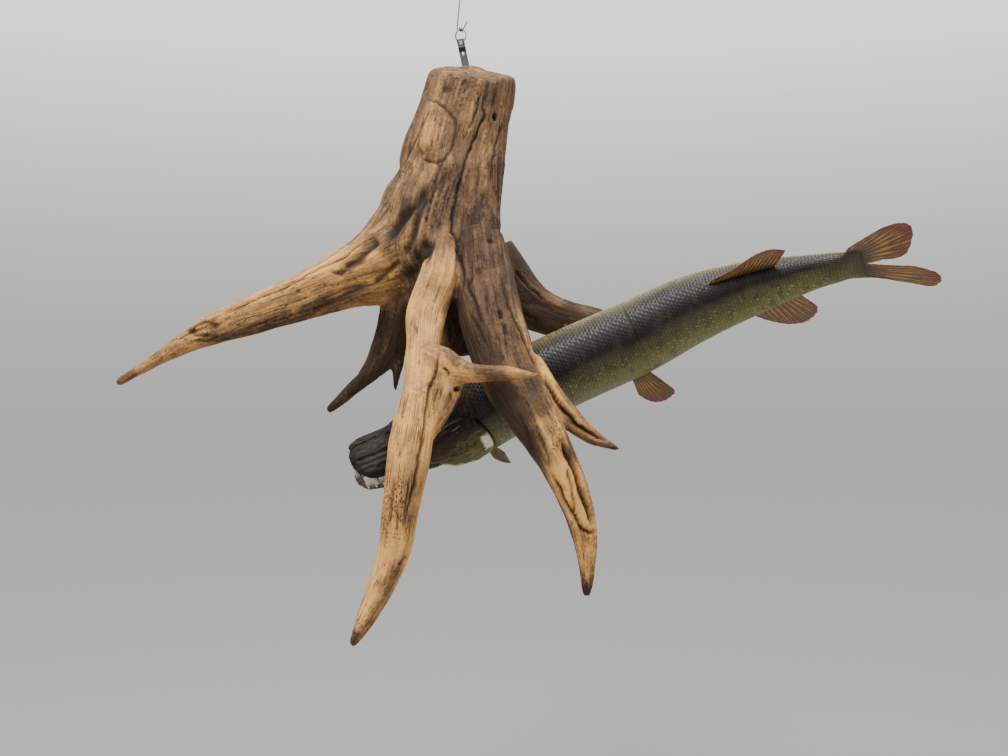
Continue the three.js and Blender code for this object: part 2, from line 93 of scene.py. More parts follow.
def normalsOf(obj):
    flat = np.zeros(len(obj.data.vertices) * 3)
    obj.data.vertex_normals.foreach_get("vector", flat)
    return flat.reshape(-1, 3)


def store(obj, name, values):
    values = np.asarray(values, float)
    wide = values.ndim == 2
    kind = "FLOAT_VECTOR" if wide else "FLOAT"
    layer = obj.data.attributes.new(name, kind, "POINT")
    layer.data.foreach_set("vector" if wide else "value", values.ravel())


# Smooth shading and a material.
def dress(obj, material):
    selectOnly(obj)
    bpy.ops.object.shade_smooth()
    obj.data.materials.append(material)


def relax(obj, weight, times):
    levels = 5
    group = obj.vertex_groups.new(name="relax")
    for level in range(1, levels + 1):
        chosen = np.flatnonzero(np.round(weight * levels).astype(int) == level)
        if len(chosen):
            group.add(chosen.tolist(), level / levels, "REPLACE")
    applyModifier(obj, "SMOOTH", factor=0.5, iterations=times, vertex_group=group.name)
    obj.vertex_groups.clear()


# A smooth change from 0 at low to 1 at high. High may be the smaller one.
def step(low, high, value):
    t = np.clip((value - low) / (high - low), 0, 1)
    return t * t * (3 - 2 * t)


# Smooth noise from -1 to 1, blended between hashed values at the corners of unit cells.
def noise(points, seed):
    cell = np.floor(points).astype(np.int64)
    part = points - cell
    part = part * part * (3 - 2 * part)
    total = np.zeros(len(points))
    for corner in range(8):
        offset = np.array([corner & 1, corner >> 1 & 1, corner >> 2 & 1])
        x, y, z = ((cell + offset) & 0xFFFFF).T
        mixed = (x * 73856093) ^ (y * 19349663) ^ (z * 83492791) ^ (seed * 2654435761)
        mixed = ((mixed ^ (mixed >> 13)) * 1274126177) & 0xFFFFFFFF
        value = ((mixed ^ (mixed >> 16)) & 0xFFFF) / 32767.5 - 1
        total += value * np.where(offset, part, 1 - part).prod(1)
    return total


# Curves and tables, as smooth as the part's own.


def curveThrough(points, ts):
    points = np.array(points, float)
    place = np.clip(np.asarray(ts, float), 0, 1) * (len(points) - 1)
    index = np.minimum(place.astype(int), len(points) - 2)
    weight = (place - index)[:, None]
    padded = np.vstack([2 * points[0] - points[1], points, 2 * points[-1] - points[-2]])
    p0, p1, p2, p3 = (padded[index + k] for k in range(4))

    def gap(a, b):
        return np.maximum(((b - a) ** 2).sum(1) ** 0.25, 1e-4)[:, None]

    d0, d1, d2 = gap(p0, p1), gap(p1, p2), gap(p2, p3)
    leave = ((p1 - p0) / d0 - (p2 - p0) / (d0 + d1) + (p2 - p1) / d1) * d1
    arrive = ((p2 - p1) / d1 - (p3 - p1) / (d1 + d2) + (p3 - p2) / d2) * d1
    square = -3 * p1 + 3 * p2 - 2 * leave - arrive
    cube = 2 * p1 - 2 * p2 + leave + arrive
    return p1 + (leave + (square + cube * weight) * weight) * weight


def smoothTable(rows):
    rows = np.array(rows, float)
    keys, values = rows[:, 0], rows[:, 1:]
    last = len(keys) - 1

    def at(s):
        s = np.clip(np.atleast_1d(s).astype(float), keys[0], keys[-1])
        i1 = np.clip(np.searchsorted(keys, s, side="right"), 1, last)
        i0 = i1 - 1
        before = np.where(i0 > 0, i0 - 1, i1)
        after = np.where(i1 < last, i1 + 1, i0)
        t0, t1 = keys[i0], keys[i1]
        tBefore = np.where(i0 > 0, keys[before], 2 * t0 - t1)
        tAfter = np.where(i1 < last, keys[after], 2 * t1 - t0)
        half = (t1 - t0) / 2
        wb, wa = half / (t0 - tBefore), half / (tAfter - t1)
        p = (s - t0) / (t1 - t0)
        p2, p3 = p * p, p * p * p
        shares = [
            (before, -wb * p3 + 2 * wb * p2 - wb * p),
            (i0, (1 + wb) * p3 + (-1.5 - 2 * wb) * p2 + (-0.5 + wb) * p + 1),
            (i1, (-1 - wa) * p3 + (1.5 + wa) * p2 + 0.5 * p),
            (after, wa * p3 - wa * p2),
        ]
        return sum(values[i] * share[:, None] for i, share in shares)

    return at


def tubeFaces(rings, sides):
    faces = []
    for ring in range(rings - 1):
        for side in range(sides):
            here, beside = ring * sides + side, ring * sides + (side + 1) % sides
            faces.append((here, beside, beside + sides, here + sides))
    first, last = rings * sides, rings * sides + 1
    end = (rings - 1) * sides
    for side in range(sides):
        faces.append((first, (side + 1) % sides, side))
        faces.append((last, end + side, end + (side + 1) % sides))
    return faces


def closedTube(name, rings, firstMiddle, lastMiddle):
    count, sides = rings.shape[:2]
    points = np.vstack([rings.reshape(-1, 3), firstMiddle, lastMiddle])
    obj = makeObject(name, points, tubeFaces(count, sides))
    makeSolid(obj)
    return obj


def makeSolid(obj):
    whole = bmesh.new()
    whole.from_mesh(obj.data)
    bmesh.ops.recalc_face_normals(whole, faces=whole.faces)
    whole.to_mesh(obj.data)
    whole.free()
    obj.data.update()


# Wood: limbs as in the part, joined into one grown surface, then carved along their grain.
# A station is x, y, z, half width and half depth, in millimetres.

wood = {
    "voxel": 2.7,
    "quickVoxel": 4.0,
    "sides": 48,
    "perStation": 8,
    "tipLength": 4,
    "capTurns": (30, 60),
    "wander": 1.2,
    "ridge": 1.0,
    "check": 2.6,
    "fibre": 0.45,
    "shrink": 0.5,
    "tipRegain": 1.6,
    "thin": 6,
    "thick": 16,
    "meeting": (0.34, 0.04),
    "blend": 0.13,
    "rimBand": (13, 3),
    "rimMiddle": (4, -4),
    "rimSize": (34, 16),
    "rimLift": 4.5,
    "topFacing": (-0.1, 0.39, -0.91),
    "topOffset": 10,
    "pithPlace": (6, -30, -18),
    "pithSize": (17, 9, 12),
    "wallGap": 2.9,
    "front": (60, -1680, -480),
}

# Each limb's tone sets its place on the wood's scale from pale to dark. It holds the limb's own colour
# and painted light: the back limbs are darkest as painted shade, and the front left limb is palest
# partly as painted light.
limbs = {
    "trunk": {
        "stations": [
            [14, -54, 5, 50, 42], [12, -56, -52, 64, 49], [-3, -64, -121, 68, 54],
            [-12, -72, -165, 75, 58], [-15, -82, -208, 74, 64], [-27, -92, -250, 87, 70],
            [-30, -104, -300, 86, 73], [-14, -113, -345, 72, 68], [0, -120, -388, 56, 58],
            [2, -122, -424, 38, 42],
        ],
        "flutes": 5, "depth": 0.04, "turn": 0.5, "tone": 0.70,
    },
    "leftShoulder": {
        "stations": [
            [-56, -80, -168, 22, 32], [-68, -88, -206, 29, 38], [-85, -97, -250, 31, 40],
            [-118, -110, -292, 29, 37], [-156, -120, -330, 30, 32],
        ],
        "tone": 0.55,
    },
    "stub": {
        "stations": [
            [-31, -86, -90, 11, 14], [-34, -93, -106, 19, 21], [-39, -101, -135, 21, 23],
            [-43, -108, -160, 20, 22], [-45, -109, -172, 15, 17],
        ],
        "flutes": 2, "depth": 0.03, "tone": 0.38,
    },
    "left": {
        "stations": [
            [-60, -112, -292, 48, 50], [-105, -116, -320, 54, 46], [-161, -122, -342.5, 41.5, 38],
            [-222, -130, -369, 34, 32], [-290, -138, -395, 28, 27], [-340, -146, -414, 22, 22],
            [-369, -150, -429, 15, 15], [-410, -155, -453, 9, 9.5], [-460, -160, -484, 5, 5],
        ],
        "flutes": 4, "turn": 0.6, "tone": 0.34, "rough": 0.7,
    },
    "backLeft": {
        "stations": [
            [-80, -98, -360, 34, 34], [-90, -90, -400, 28, 30], [-106, -76, -440, 25, 26],
            [-131, -62, -470, 15, 18], [-161, -52, -497, 10, 12], [-193, -43, -524, 4.5, 5],
        ],
        "tone": 1.0,
    },
    "backLeftSpur": {
        "stations": [[-92, -88, -420, 14, 16], [-91, -84, -455, 9, 10], [-95, -82, -494, 2, 2.5]],
        "tone": 1.0,
    },
    "frontLeft": {
        "stations": [
            [-20, -150, -300, 24, 30], [-28, -182, -345, 27, 30], [-42, -212, -395, 27, 29],
            [-44, -240, -440, 23, 28], [-46, -274, -495, 21, 27], [-54, -298, -558, 27, 28],
            [-64, -308, -628, 24.5, 27], [-74, -308, -692, 21, 24], [-87.5, -312, -730, 18.5, 19],
            [-108, -322, -774, 12.5, 12.5], [-120, -330, -796, 5, 5],
        ],
        "turn": 0.35, "tone": 0.10, "rough": 0.45,
    },
    "cross": {
        "stations": [
            [-34, -258, -452, 18, 20], [-14, -272, -462, 19, 19], [4, -284, -470, 15, 15],
            [24, -293, -474, 10, 11], [62, -303, -474, 7.5, 8], [98, -310, -477, 2.5, 3],
        ],
        "tone": 0.42,
    },
    "web": {
        "stations": [
            [-12, -270, -456, 16, 14], [-12, -276, -482, 22, 15], [-18, -284, -508, 21, 13],
            [-30, -292, -535, 16, 10], [-40, -298, -562, 8, 7],
        ],
        "tone": 0.52,
    },
    "frontRight": {
        "stations": [
            [24, -138, -290, 36, 40], [32, -172, -350, 41, 38], [48, -218, -420, 41, 33],
            [66, -250, -474, 38, 28], [90, -266, -520, 33, 28], [114.5, -272, -560, 28.5, 27],
            [145.5, -273, -624, 23, 23], [162.5, -269, -686, 16.5, 17], [165, -265, -718, 10.5, 12],
            [165, -262, -749, 5, 5],
        ],
        "flutes": 4, "turn": 0.4, "tone": 0.86, "rough": 0.7,
    },
    "rightSpur": {
        "stations": [
            [92, -238, -458, 16, 18], [112, -242, -488, 16, 18], [142, -250, -528, 16, 17],
            [170, -253, -553, 10, 11], [202, -256, -569, 2.5, 3],
        ],
        "tone": 0.48,
    },
    "backRight": {
        "stations": [
            [40, -76, -300, 34, 36], [68, -62, -345, 38, 36], [98, -52, -374, 35, 34],
            [142, -46, -393, 31, 31], [196, -42, -405, 27, 26], [230, -36, -415, 17, 17],
        ],
        "flutes": 4, "tone": 1.0,
    },
}

# Cracks and hollows seen from the front: half width, depth, how dark, and a route of x, z. How dark is
# painted shade in the crack or hollow.
grooves = [
    (1.8, 4, 0.8, [(-50, -85), (-34, -92), (-23, -102), (-8, -119), (-7, -140), (-12, -162), (-25, -183),
                   (-32, -203), (-35, -224), (-44, -260)]),
    (1.7, 3, 0.7, [(-44, -100), (-57, -128), (-69, -155), (-79, -175), (-91, -209)]),
    (1.9, 4, 0.9, [(-54, -176), (-42, -181), (-32, -185), (-26, -180)]),
    (1.7, 3, 0.6, [(26, -85), (23, -102), (17, -123), (10, -134)]),
    (1.7, 5, 1.0, [(35, -84), (30, -102), (35, -110), (25, -131), (20, -146), (11, -170), (4, -196),
                   (-1, -223), (-8, -251), (-11, -283), (-2, -293), (-2, -311), (4, -331), (6, -351),
                   (3, -377)]),
    (1.8, 3, 0.7, [(56, -123), (50, -145), (45, -177), (43, -205)]),
    (1.6, 2, 0.5, [(27, -177), (25, -212), (20, -281)]),
    (6.1, 7, 0.8, [(-46, -221), (-59, -245), (-76, -261), (-86, -273), (-97, -293)]),
    (5.4, 6, 0.8, [(-45, -231), (-55, -260), (-65, -294), (-75, -315)]),
    (8.2, 9, 0.9, [(-112, -289), (-125, -303), (-140, -320), (-158, -330)]),
    (9.5, 7, 0.6, [(-42, -295), (-47, -316), (-61, -337), (-79, -346)]),
    (3.4, 4, 0.7, [(-84, -322), (-99, -338), (-116, -351)]),
    (2.0, 3, 0.7, [(-122, -291), (-136, -315), (-162, -338), (-178, -335)]),
    (2.0, 4, 0.7, [(15, -319), (18, -348), (11, -361), (22, -382), (31, -410)]),
    (1.8, 3, 0.6, [(16, -398), (29, -423), (36, -438)]),
    (1.7, 4, 0.8, [(56, -346), (65, -381), (78, -413), (89, -438), (101, -465)]),
    (2.6, 6, 1.0, [(54, -391), (57, -403)]),
    (2.3, 5, 0.9, [(60, -411), (63, -424)]),
    (1.6, 3, 0.7, [(85, -504), (99, -535), (111, -568), (117, -594)]),
    (1.6, 2, 0.5, [(75, -520), (84, -541), (96, -572)]),
    (2.5, 8, 1.0, [(113, -478), (124, -505), (137, -524), (151, -541), (172, -551), (189, -560)]),
    (3.2, 10, 1.0, [(132, -558), (140, -577), (150, -601), (157, -625), (164, -642), (171, -664)]),
    (2.0, 7, 1.0, [(119, -604), (126, -614), (136, -636), (147, -652), (155, -669), (167, -674),
                   (174, -670)]),
    (1.6, 5, 0.8, [(137, -591), (144, -619), (147, -644), (154, -664)]),
    (2.0, 5, 0.8, [(-21, -444), (-24, -460), (-29, -487), (-32, -496), (-35, -526), (-38, -549),
                   (-42, -572), (-47, -603), (-54, -629), (-59, -658), (-60, -668)]),
    (1.7, 3, 0.7, [(-73, -601), (-75, -615), (-78, -642), (-80, -658)]),
    (1.6, 4, 1.0, [(-15, -467), (-12, -471), (-8, -476)]),
    (1.6, 4, 0.9, [(-317, -393), (-282, -375), (-241, -358), (-192, -329), (-157, -313), (-129, -292)]),
    (1.6, 2, 0.5, [(-215, -333), (-181, -312), (-146, -285)]),
    (2.4, 5, 0.8, [(-176, -335), (-162, -340), (-144, -330), (-128, -314)]),
    (1.9, 3, 0.7, [(-67, -707), (-60, -700), (-57, -696)]),
    (2.5, 5, 0.8, [(77, -327), (98, -352), (119, -369)]),
    (1.6, 4, 0.9, [(-372, -423), (-360, -410), (-344, -404), (-326, -406)]),
    (1.6, 3, 0.8, [(-364, -420), (-350, -413), (-332, -413)]),
    (1.6, 3, 0.8, [(-362, -424), (-348, -421), (-334, -424)]),
    (1.6, 3, 0.7, [(-358, -430), (-342, -431), (-326, -424)]),
]

# Painted highlights along lit edges and painted shade in hollows and on undersides: half width, how much
# darker (below nothing, paler), and a route of x, z.
paintedLightStrips = [
    (7, -0.42, [(73, -379), (95, -436), (114, -477), (126, -512), (133, -564)]),
    (6, -0.35, [(136, -600), (148, -632), (156, -660)]),
    (9, -0.25, [(-108, -300), (-160, -318), (-230, -348), (-300, -384)]),
    (12, 0.45, [(-9, -372), (-6, -410), (2, -448), (14, -452)]),
    (9, 0.35, [(-66, -245), (-88, -280), (-112, -312)]),
    (9, 0.25, [(-120, -358), (-170, -376), (-230, -398)]),
    (22, 0.24, [(-14, -262), (-22, -320), (-34, -372)]),
    (8, 0.30, [(-150, -362), (-222, -396), (-300, -420), (-350, -434)]),
    (14, 0.34, [(-438, -470), (-466, -489)]),
    (9, 0.55, [(-116, -784), (-124, -806)]),
    (9, 0.4, [(-184, -516), (-198, -529)]),
    (8, 0.4, [(165, -738), (165, -760)]),
    (7, 0.4, [(192, -562), (206, -572)]),
    (26, -0.75, [(128, -580), (146, -640), (160, -690), (166, -745)]),
    (16, -0.45, [(104, -520), (124, -570), (136, -610)]),
    (10, 0.25, [(-44, -560), (-52, -600), (-58, -660)]),
    (7, 0.34, [(-66, -700), (-84, -745), (-108, -785)]),
    (8, 0.3, [(-118, -779), (-126, -800)]),
    (16, 0.28, [(30, -440), (70, -520), (104, -590)]),
    (10, 0.30, [(60, -330), (92, -372), (140, -392)]),
    (7, -0.30, [(78, -322), (112, -352), (150, -378)]),
]

# Knots and holes: x, z, half width, half height, depth, how dark. How dark is painted shade in the holes
# and the knots' own darker colour.
knots = [
    (-364, -416, 7.5, 5.2, 6, 0.9), (-332, -410, 8.1, 4.1, 3, 0.5), (2, -494, 4.5, 3.7, 9, 1.0),
    (48, -111, 3.4, 5.9, 10, 1.0), (-14, -51, 2.3, 1.7, 3, 0.8), (-21, -74, 7.0, 5.6, 3, 0.45),
    (43, -297, 4.6, 4.0, 3, 0.7), (26, -341, 5.3, 6.6, 2.5, 0.5), (-219, -362, 4.1, 2.2, 3, 0.7),
    (-38, -175, 8.3, 4.8, 1.0, 0.5),
]

# Worm-eaten patches: x, z, half width, half height, strength.
wormed = [
    (-66, -632, 15, 42, 1.0), (-84, -640, 9, 52, 0.8), (-38, -495, 16, 18, 0.5),
    (-84, -660, 8, 30, 0.7), (4, -70, 40, 40, 0.45), (-60, -330, 26, 34, 0.45),
    (126, -550, 9, 26, 0.8), (40, -440, 34, 40, 0.35), (165, -700, 14, 30, 0.4),
    (-342, -416, 18, 12, 0.8),
]


def limbLine(limb, count):
    stations = np.array(limb["stations"], float)
    ts = np.linspace(0, 1, count)
    middle = curveThrough(stations[:, :3], ts)
    size = curveThrough(np.c_[stations[:, 3:], np.zeros(len(stations))], ts)[:, :2]
    along = curveThrough(stations[:, :3], ts + 1e-4) - curveThrough(stations[:, :3], ts - 1e-4)
    along /= np.linalg.norm(along, axis=1)[:, None]
    across = np.cross(along, [0, 1, 0])
    across /= np.linalg.norm(across, axis=1)[:, None]
    inward = np.cross(across, along)
    return ts, middle, size, along, across, inward


def limbObject(name, limb):
    stations = limb["stations"]
    count = (len(stations) - 1) * wood["perStation"] + 1
    ts, middle, size, along, across, inward = limbLine(limb, count)
    angle = np.linspace(0, 2 * math.pi, wood["sides"], endpoint=False)
    swing = limb.get("flutes", 3) * angle + limb.get("turn", 1) * ts[:, None] * len(stations)
    flute = (1 + limb.get("depth", 0.06) * np.cos(swing))[:, :, None]
    rings = middle[:, None] + flute * (
        across[:, None] * (size[:, :1] * np.cos(angle))[:, :, None]
        + inward[:, None] * (size[:, 1:] * np.sin(angle))[:, :, None]
    )
    reach = size[-1, 0] * 0.6 + wood["tipLength"]
    caps = []
    for turned in np.radians(wood["capTurns"]):
        ahead = along[-1] * reach * math.sin(turned)
        caps.append(middle[-1] + ahead + (rings[-1] - middle[-1]) * math.cos(turned))
    tip = middle[-1] + along[-1] * reach
    return closedTube(name, np.vstack([rings, caps]) * mm, middle[0] * mm, tip * mm)


# The sawn top and the rotted hollow in it, cut before the limbs are joined.
def cutTop(trunk):
    facing = np.array(wood["topFacing"]) / np.linalg.norm(wood["topFacing"])
    whole = bmesh.new()
    whole.from_mesh(trunk.data)
    everything = whole.verts[:] + whole.edges[:] + whole.faces[:]
    place = facing * wood["topOffset"] * mm
    cut = bmesh.ops.bisect_plane(
        whole, geom=everything, plane_co=place, plane_no=facing, clear_inner=True,
    )
    edges = [e for e in cut["geom_cut"] if isinstance(e, bmesh.types.BMEdge)]
    bmesh.ops.edgeloop_fill(whole, edges=edges)
    bmesh.ops.recalc_face_normals(whole, faces=whole.faces)
    whole.to_mesh(trunk.data)
    whole.free()
    bpy.ops.mesh.primitive_uv_sphere_add(segments=32, ring_count=16, radius=1)
    pith = bpy.context.object
    setPoints(pith, (pointsOf(pith) * wood["pithSize"] + wood["pithPlace"]) * mm)
    cutAway(trunk, pith)


# Where each point lies on a limb: how far out as a share of the limb's radius, and its place across,
# in and along the limb in millimetres.
def placeOnLimb(points, limb):
    _, middle, size, along, across, inward = limbLine(limb, 90)
    nearest = np.concatenate([
        ((chunk[:, None] - middle) ** 2).sum(2).argmin(1)
        for chunk in np.array_split(points, max(1, len(points) // 8000))
    ])
    away = points - middle[nearest]
    right, deep, ahead = ((away * axis[nearest]).sum(1) for axis in (across, inward, along))
    run = np.r_[0, np.cumsum(np.linalg.norm(np.diff(middle, axis=0), axis=1))]
    around = np.hypot(right / size[nearest, 0], deep / size[nearest, 1])
    beyond = np.maximum(np.abs(ahead) / size[nearest, 0] - 0.3, 0)
    return np.hypot(around, beyond), np.c_[right, deep, run[nearest] + ahead], size[nearest].mean(1)


# The height of the grain and how cracked it is. Long cracks run where a noise stretched along the
# grain changes sign.
def grainHeight(place, radius, meanRadius, seed):
    growth = (radius / meanRadius) ** 0.6
    flat = np.c_[place[:, 0] / growth, place[:, 1] / growth, place[:, 2]]
    slow = flat / [60, 60, 90]
    flat = flat + 3.5 * np.c_[noise(slow, seed + 7), noise(slow, seed + 8), 0 * radius]
    ridges = noise(flat / [11, 11, 220], seed)
    checks = noise(flat / [9, 9, 190], seed + 1)
    gate = step(-0.05, 0.35, noise(flat / [30, 30, 90], seed + 2))
    fine = noise(flat / [5.5, 5.5, 110], seed + 4)
    fineGate = step(0.05, 0.4, noise(flat / [22, 22, 50], seed + 5))
    fibre = noise(flat / [4.5, 4.5, 45], seed + 3)
    crack = gate * np.maximum(0, 1 - np.abs(checks) / 0.11)
    crack = np.maximum(crack, 0.7 * fineGate * np.maximum(0, 1 - np.abs(fine) / 0.16))
    height = wood["ridge"] * ridges - wood["check"] * crack + wood["fibre"] * fibre
    return height, crack


# How far each point lies from a route, and the share of the route's length at its nearest place.
def nearRoute(flat, route):
    route = np.array(route, float)
    best = np.full(len(flat), 1e9)
    share = np.zeros(len(flat))
    lengths = np.r_[0, np.cumsum(np.linalg.norm(np.diff(route, axis=0), axis=1))]
    for a, b, start in zip(route[:-1], route[1:], lengths):
        along = b - a
        t = np.clip(((flat - a) @ along) / (along @ along), 0, 1)
        away = np.linalg.norm(flat - a - t[:, None] * along, axis=1)
        closer = away < best
        best[closer] = away[closer]
        share[closer] = (start + t * np.linalg.norm(along))[closer] / lengths[-1]
    return best, share


def frontFacing(points, outward):
    sight = points - np.array(wood["front"])
    sight /= np.linalg.norm(sight, axis=1)[:, None]
    return step(0.05, 0.35, -(outward * sight).sum(1))


# Carves the grooves and knots and gives how dark each point is drawn there: painted shade in cracks,
# hollows and holes, and the knots' own colour.
def carveGrooves(points, facing):
    depth = np.zeros(len(points))
    dark = np.zeros(len(points))
    flat = points[:, [0, 2]]
    waver = 1.3 * np.c_[noise(points / 9, 31), noise(points / 9, 32)]
    for width, deep, darkness, route in grooves:
        margin = 3 * width + 4
        low, high = np.min(route, 0) - margin, np.max(route, 0) + margin
        near = np.flatnonzero(((flat > low) & (flat < high)).all(1) & (facing > 0))
        if not len(near):
            continue
        away, share = nearRoute(flat[near] + waver[near], route)
        ends = np.clip(np.minimum(share, 1 - share) * 8 + 0.25, 0, 1)
        wide = np.maximum(width, 1.6) * (0.7 + 0.3 * ends)
        shape = np.clip(1 - away / (1.35 * wide), 0, 1) ** 0.8 * ends * facing[near]
        depth[near] = np.maximum(depth[near], deep * shape)
        dark[near] = np.maximum(dark[near], darkness * np.minimum(1, 1.3 * shape))
    for x, z, wide, tall, deep, darkness in knots:
        away = np.hypot((flat[:, 0] - x) / wide, (flat[:, 1] - z) / tall)
        shape = step(1.25, 0.3, away) * facing
        lip = np.exp(-(((away - 1.5) / 0.35) ** 2)) * facing
        depth = np.maximum(depth, deep * shape) - 0.8 * lip * (deep > 2)
        dark = np.maximum(dark, darkness * step(1.3, 0.6, away) * facing)
    return depth, dark


# The strips' painted highlights and painted shade, as steps paler or darker, on the sides that face the
# front.
def paintLightAndShade(points, facing):
    flat = points[:, [0, 2]] + 3 * np.c_[noise(points / 14, 35), noise(points / 14, 36)]
    change = np.zeros(len(points))
    for width, much, route in paintedLightStrips:
        away, share = nearRoute(flat, route)
        ends = np.clip(np.minimum(share, 1 - share) * 6 + 0.3, 0, 1)
        change += much * step(1.7 * width, 0.4 * width, away) * ends * facing
    return change


def wormEaten(points, facing):
    ragged = 0.35 * noise(points / 12, 41)
    strength = np.zeros(len(points))
    for x, z, wide, tall, strong in wormed:
        away = np.hypot((points[:, 0] - x) / wide, (points[:, 2] - z) / tall)
        strength = np.maximum(strength, strong * step(1.15, 0.5, away + ragged) * facing)
    return strength


def buildWood():
    pieces = [limbObject(name, limb) for name, limb in limbs.items()]
    cutTop(pieces[0])
    driftwood = joinObjects("driftwood", pieces)
    voxel = wood["voxel"]
    applyModifier(driftwood, "REMESH", mode="VOXEL", voxel_size=voxel * mm)
    applyModifier(driftwood, "SMOOTH", factor=0.5, iterations=4)

    points = pointsOf(driftwood) / mm
    placed = [placeOnLimb(points, limb) for limb in limbs.values()]
    ratios = np.array([ratio for ratio, _, _ in placed])
    best = ratios.min(0)
    second = np.sort(ratios, 0)[1]
    meeting = step(*wood["meeting"], second - best)
    facing = np.array(wood["topFacing"]) / np.linalg.norm(wood["topFacing"])
    rim = step(*wood["rimBand"], points @ facing - wood["topOffset"])
    relax(driftwood, np.maximum(meeting, rim), 16)

    points = pointsOf(driftwood) / mm
    outward = normalsOf(driftwood)
    shares = np.exp(-(((ratios - best) / wood["blend"]) ** 2))
    shares /= shares.sum(0)
    height = wood["wander"] * noise(points / 48, 3) + 0.7 * noise(points / 17, 4)
    dark = np.zeros(len(points))
    for k, (share, (_, place, radius), limb) in enumerate(zip(shares, placed, limbs.values())):
        some = np.flatnonzero(share > 0.02)
        meanRadius = np.mean(np.array(limb["stations"])[:, 3:])
        rise, crack = grainHeight(place[some], radius[some], meanRadius, 11 * k)
        size = np.clip(radius[some] / 18, 0.25, 1)
        rough = limb.get("rough", 1)
        height[some] += share[some] * rise * size * rough
        dark[some] += share[some] * crack * 0.75 * rough
    front = frontFacing(points, outward)
    groove, grooveShade = carveGrooves(points, front)
    worms = wormEaten(points, front)
    pocked = np.maximum(0, noise(points / 2.6, 51)) * worms
    # How dark each point is drawn: the grain's checks, the painted shade of the grooves and holes, and
    # worm pits.
    dark = np.clip(np.maximum(dark, grooveShade) + 0.6 * pocked, 0, 1)
    main = ratios.argmin(0)
    thickness = np.choose(main, [radius for _, _, radius in placed])
    regain = wood["tipRegain"] * step(wood["thick"], wood["thin"], thickness)
    moved = height - groove - 1.6 * pocked - wood["shrink"] + regain
    rimPlace = np.hypot(*((points[:, :2] - wood["rimMiddle"]) / wood["rimSize"]).T)
    points = points + outward * moved[:, None]
    points[:, 2] += wood["rimLift"] * step(1.3, 0.3, rimPlace) * step(-60, -25, points[:, 2])
    points[:, 1] = np.minimum(points[:, 1], -wood["wallGap"])
    setPoints(driftwood, points * mm)

    places = [place + [0, 0, 400 * k] for k, (_, place, _) in enumerate(placed)]
    grain = np.choose(main[:, None], places)
    tones = np.array([limb["tone"] for limb in limbs.values()])
    store(driftwood, "grain", grain * mm)
    store(driftwood, "dark", dark)
    store(driftwood, "worms", worms)
    # Painted highlights on lit edges and painted shade in hollows and on undersides.
    paintedLight = paintLightAndShade(points, frontFacing(points, outward))
    # Paler on raised grain, darker in carved grooves as painted shade, plus the strips' painted
    # highlights and painted shade.
    tone = (shares * tones[:, None]).sum(0) - 0.07 * height + 0.03 * groove + paintedLight
    store(driftwood, "tone", tone)
    dress(driftwood, woodMaterial())
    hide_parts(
        "stump", "root_left", "root_front_left", "root_front_right", "cross_spur",
        "root_right_spur", "root_back_right", "root_back_left",
    )
    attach(driftwood, "root")
    print("wood:", len(driftwood.data.polygons), "faces")


# Materials: a small set of helpers that wire nodes together.


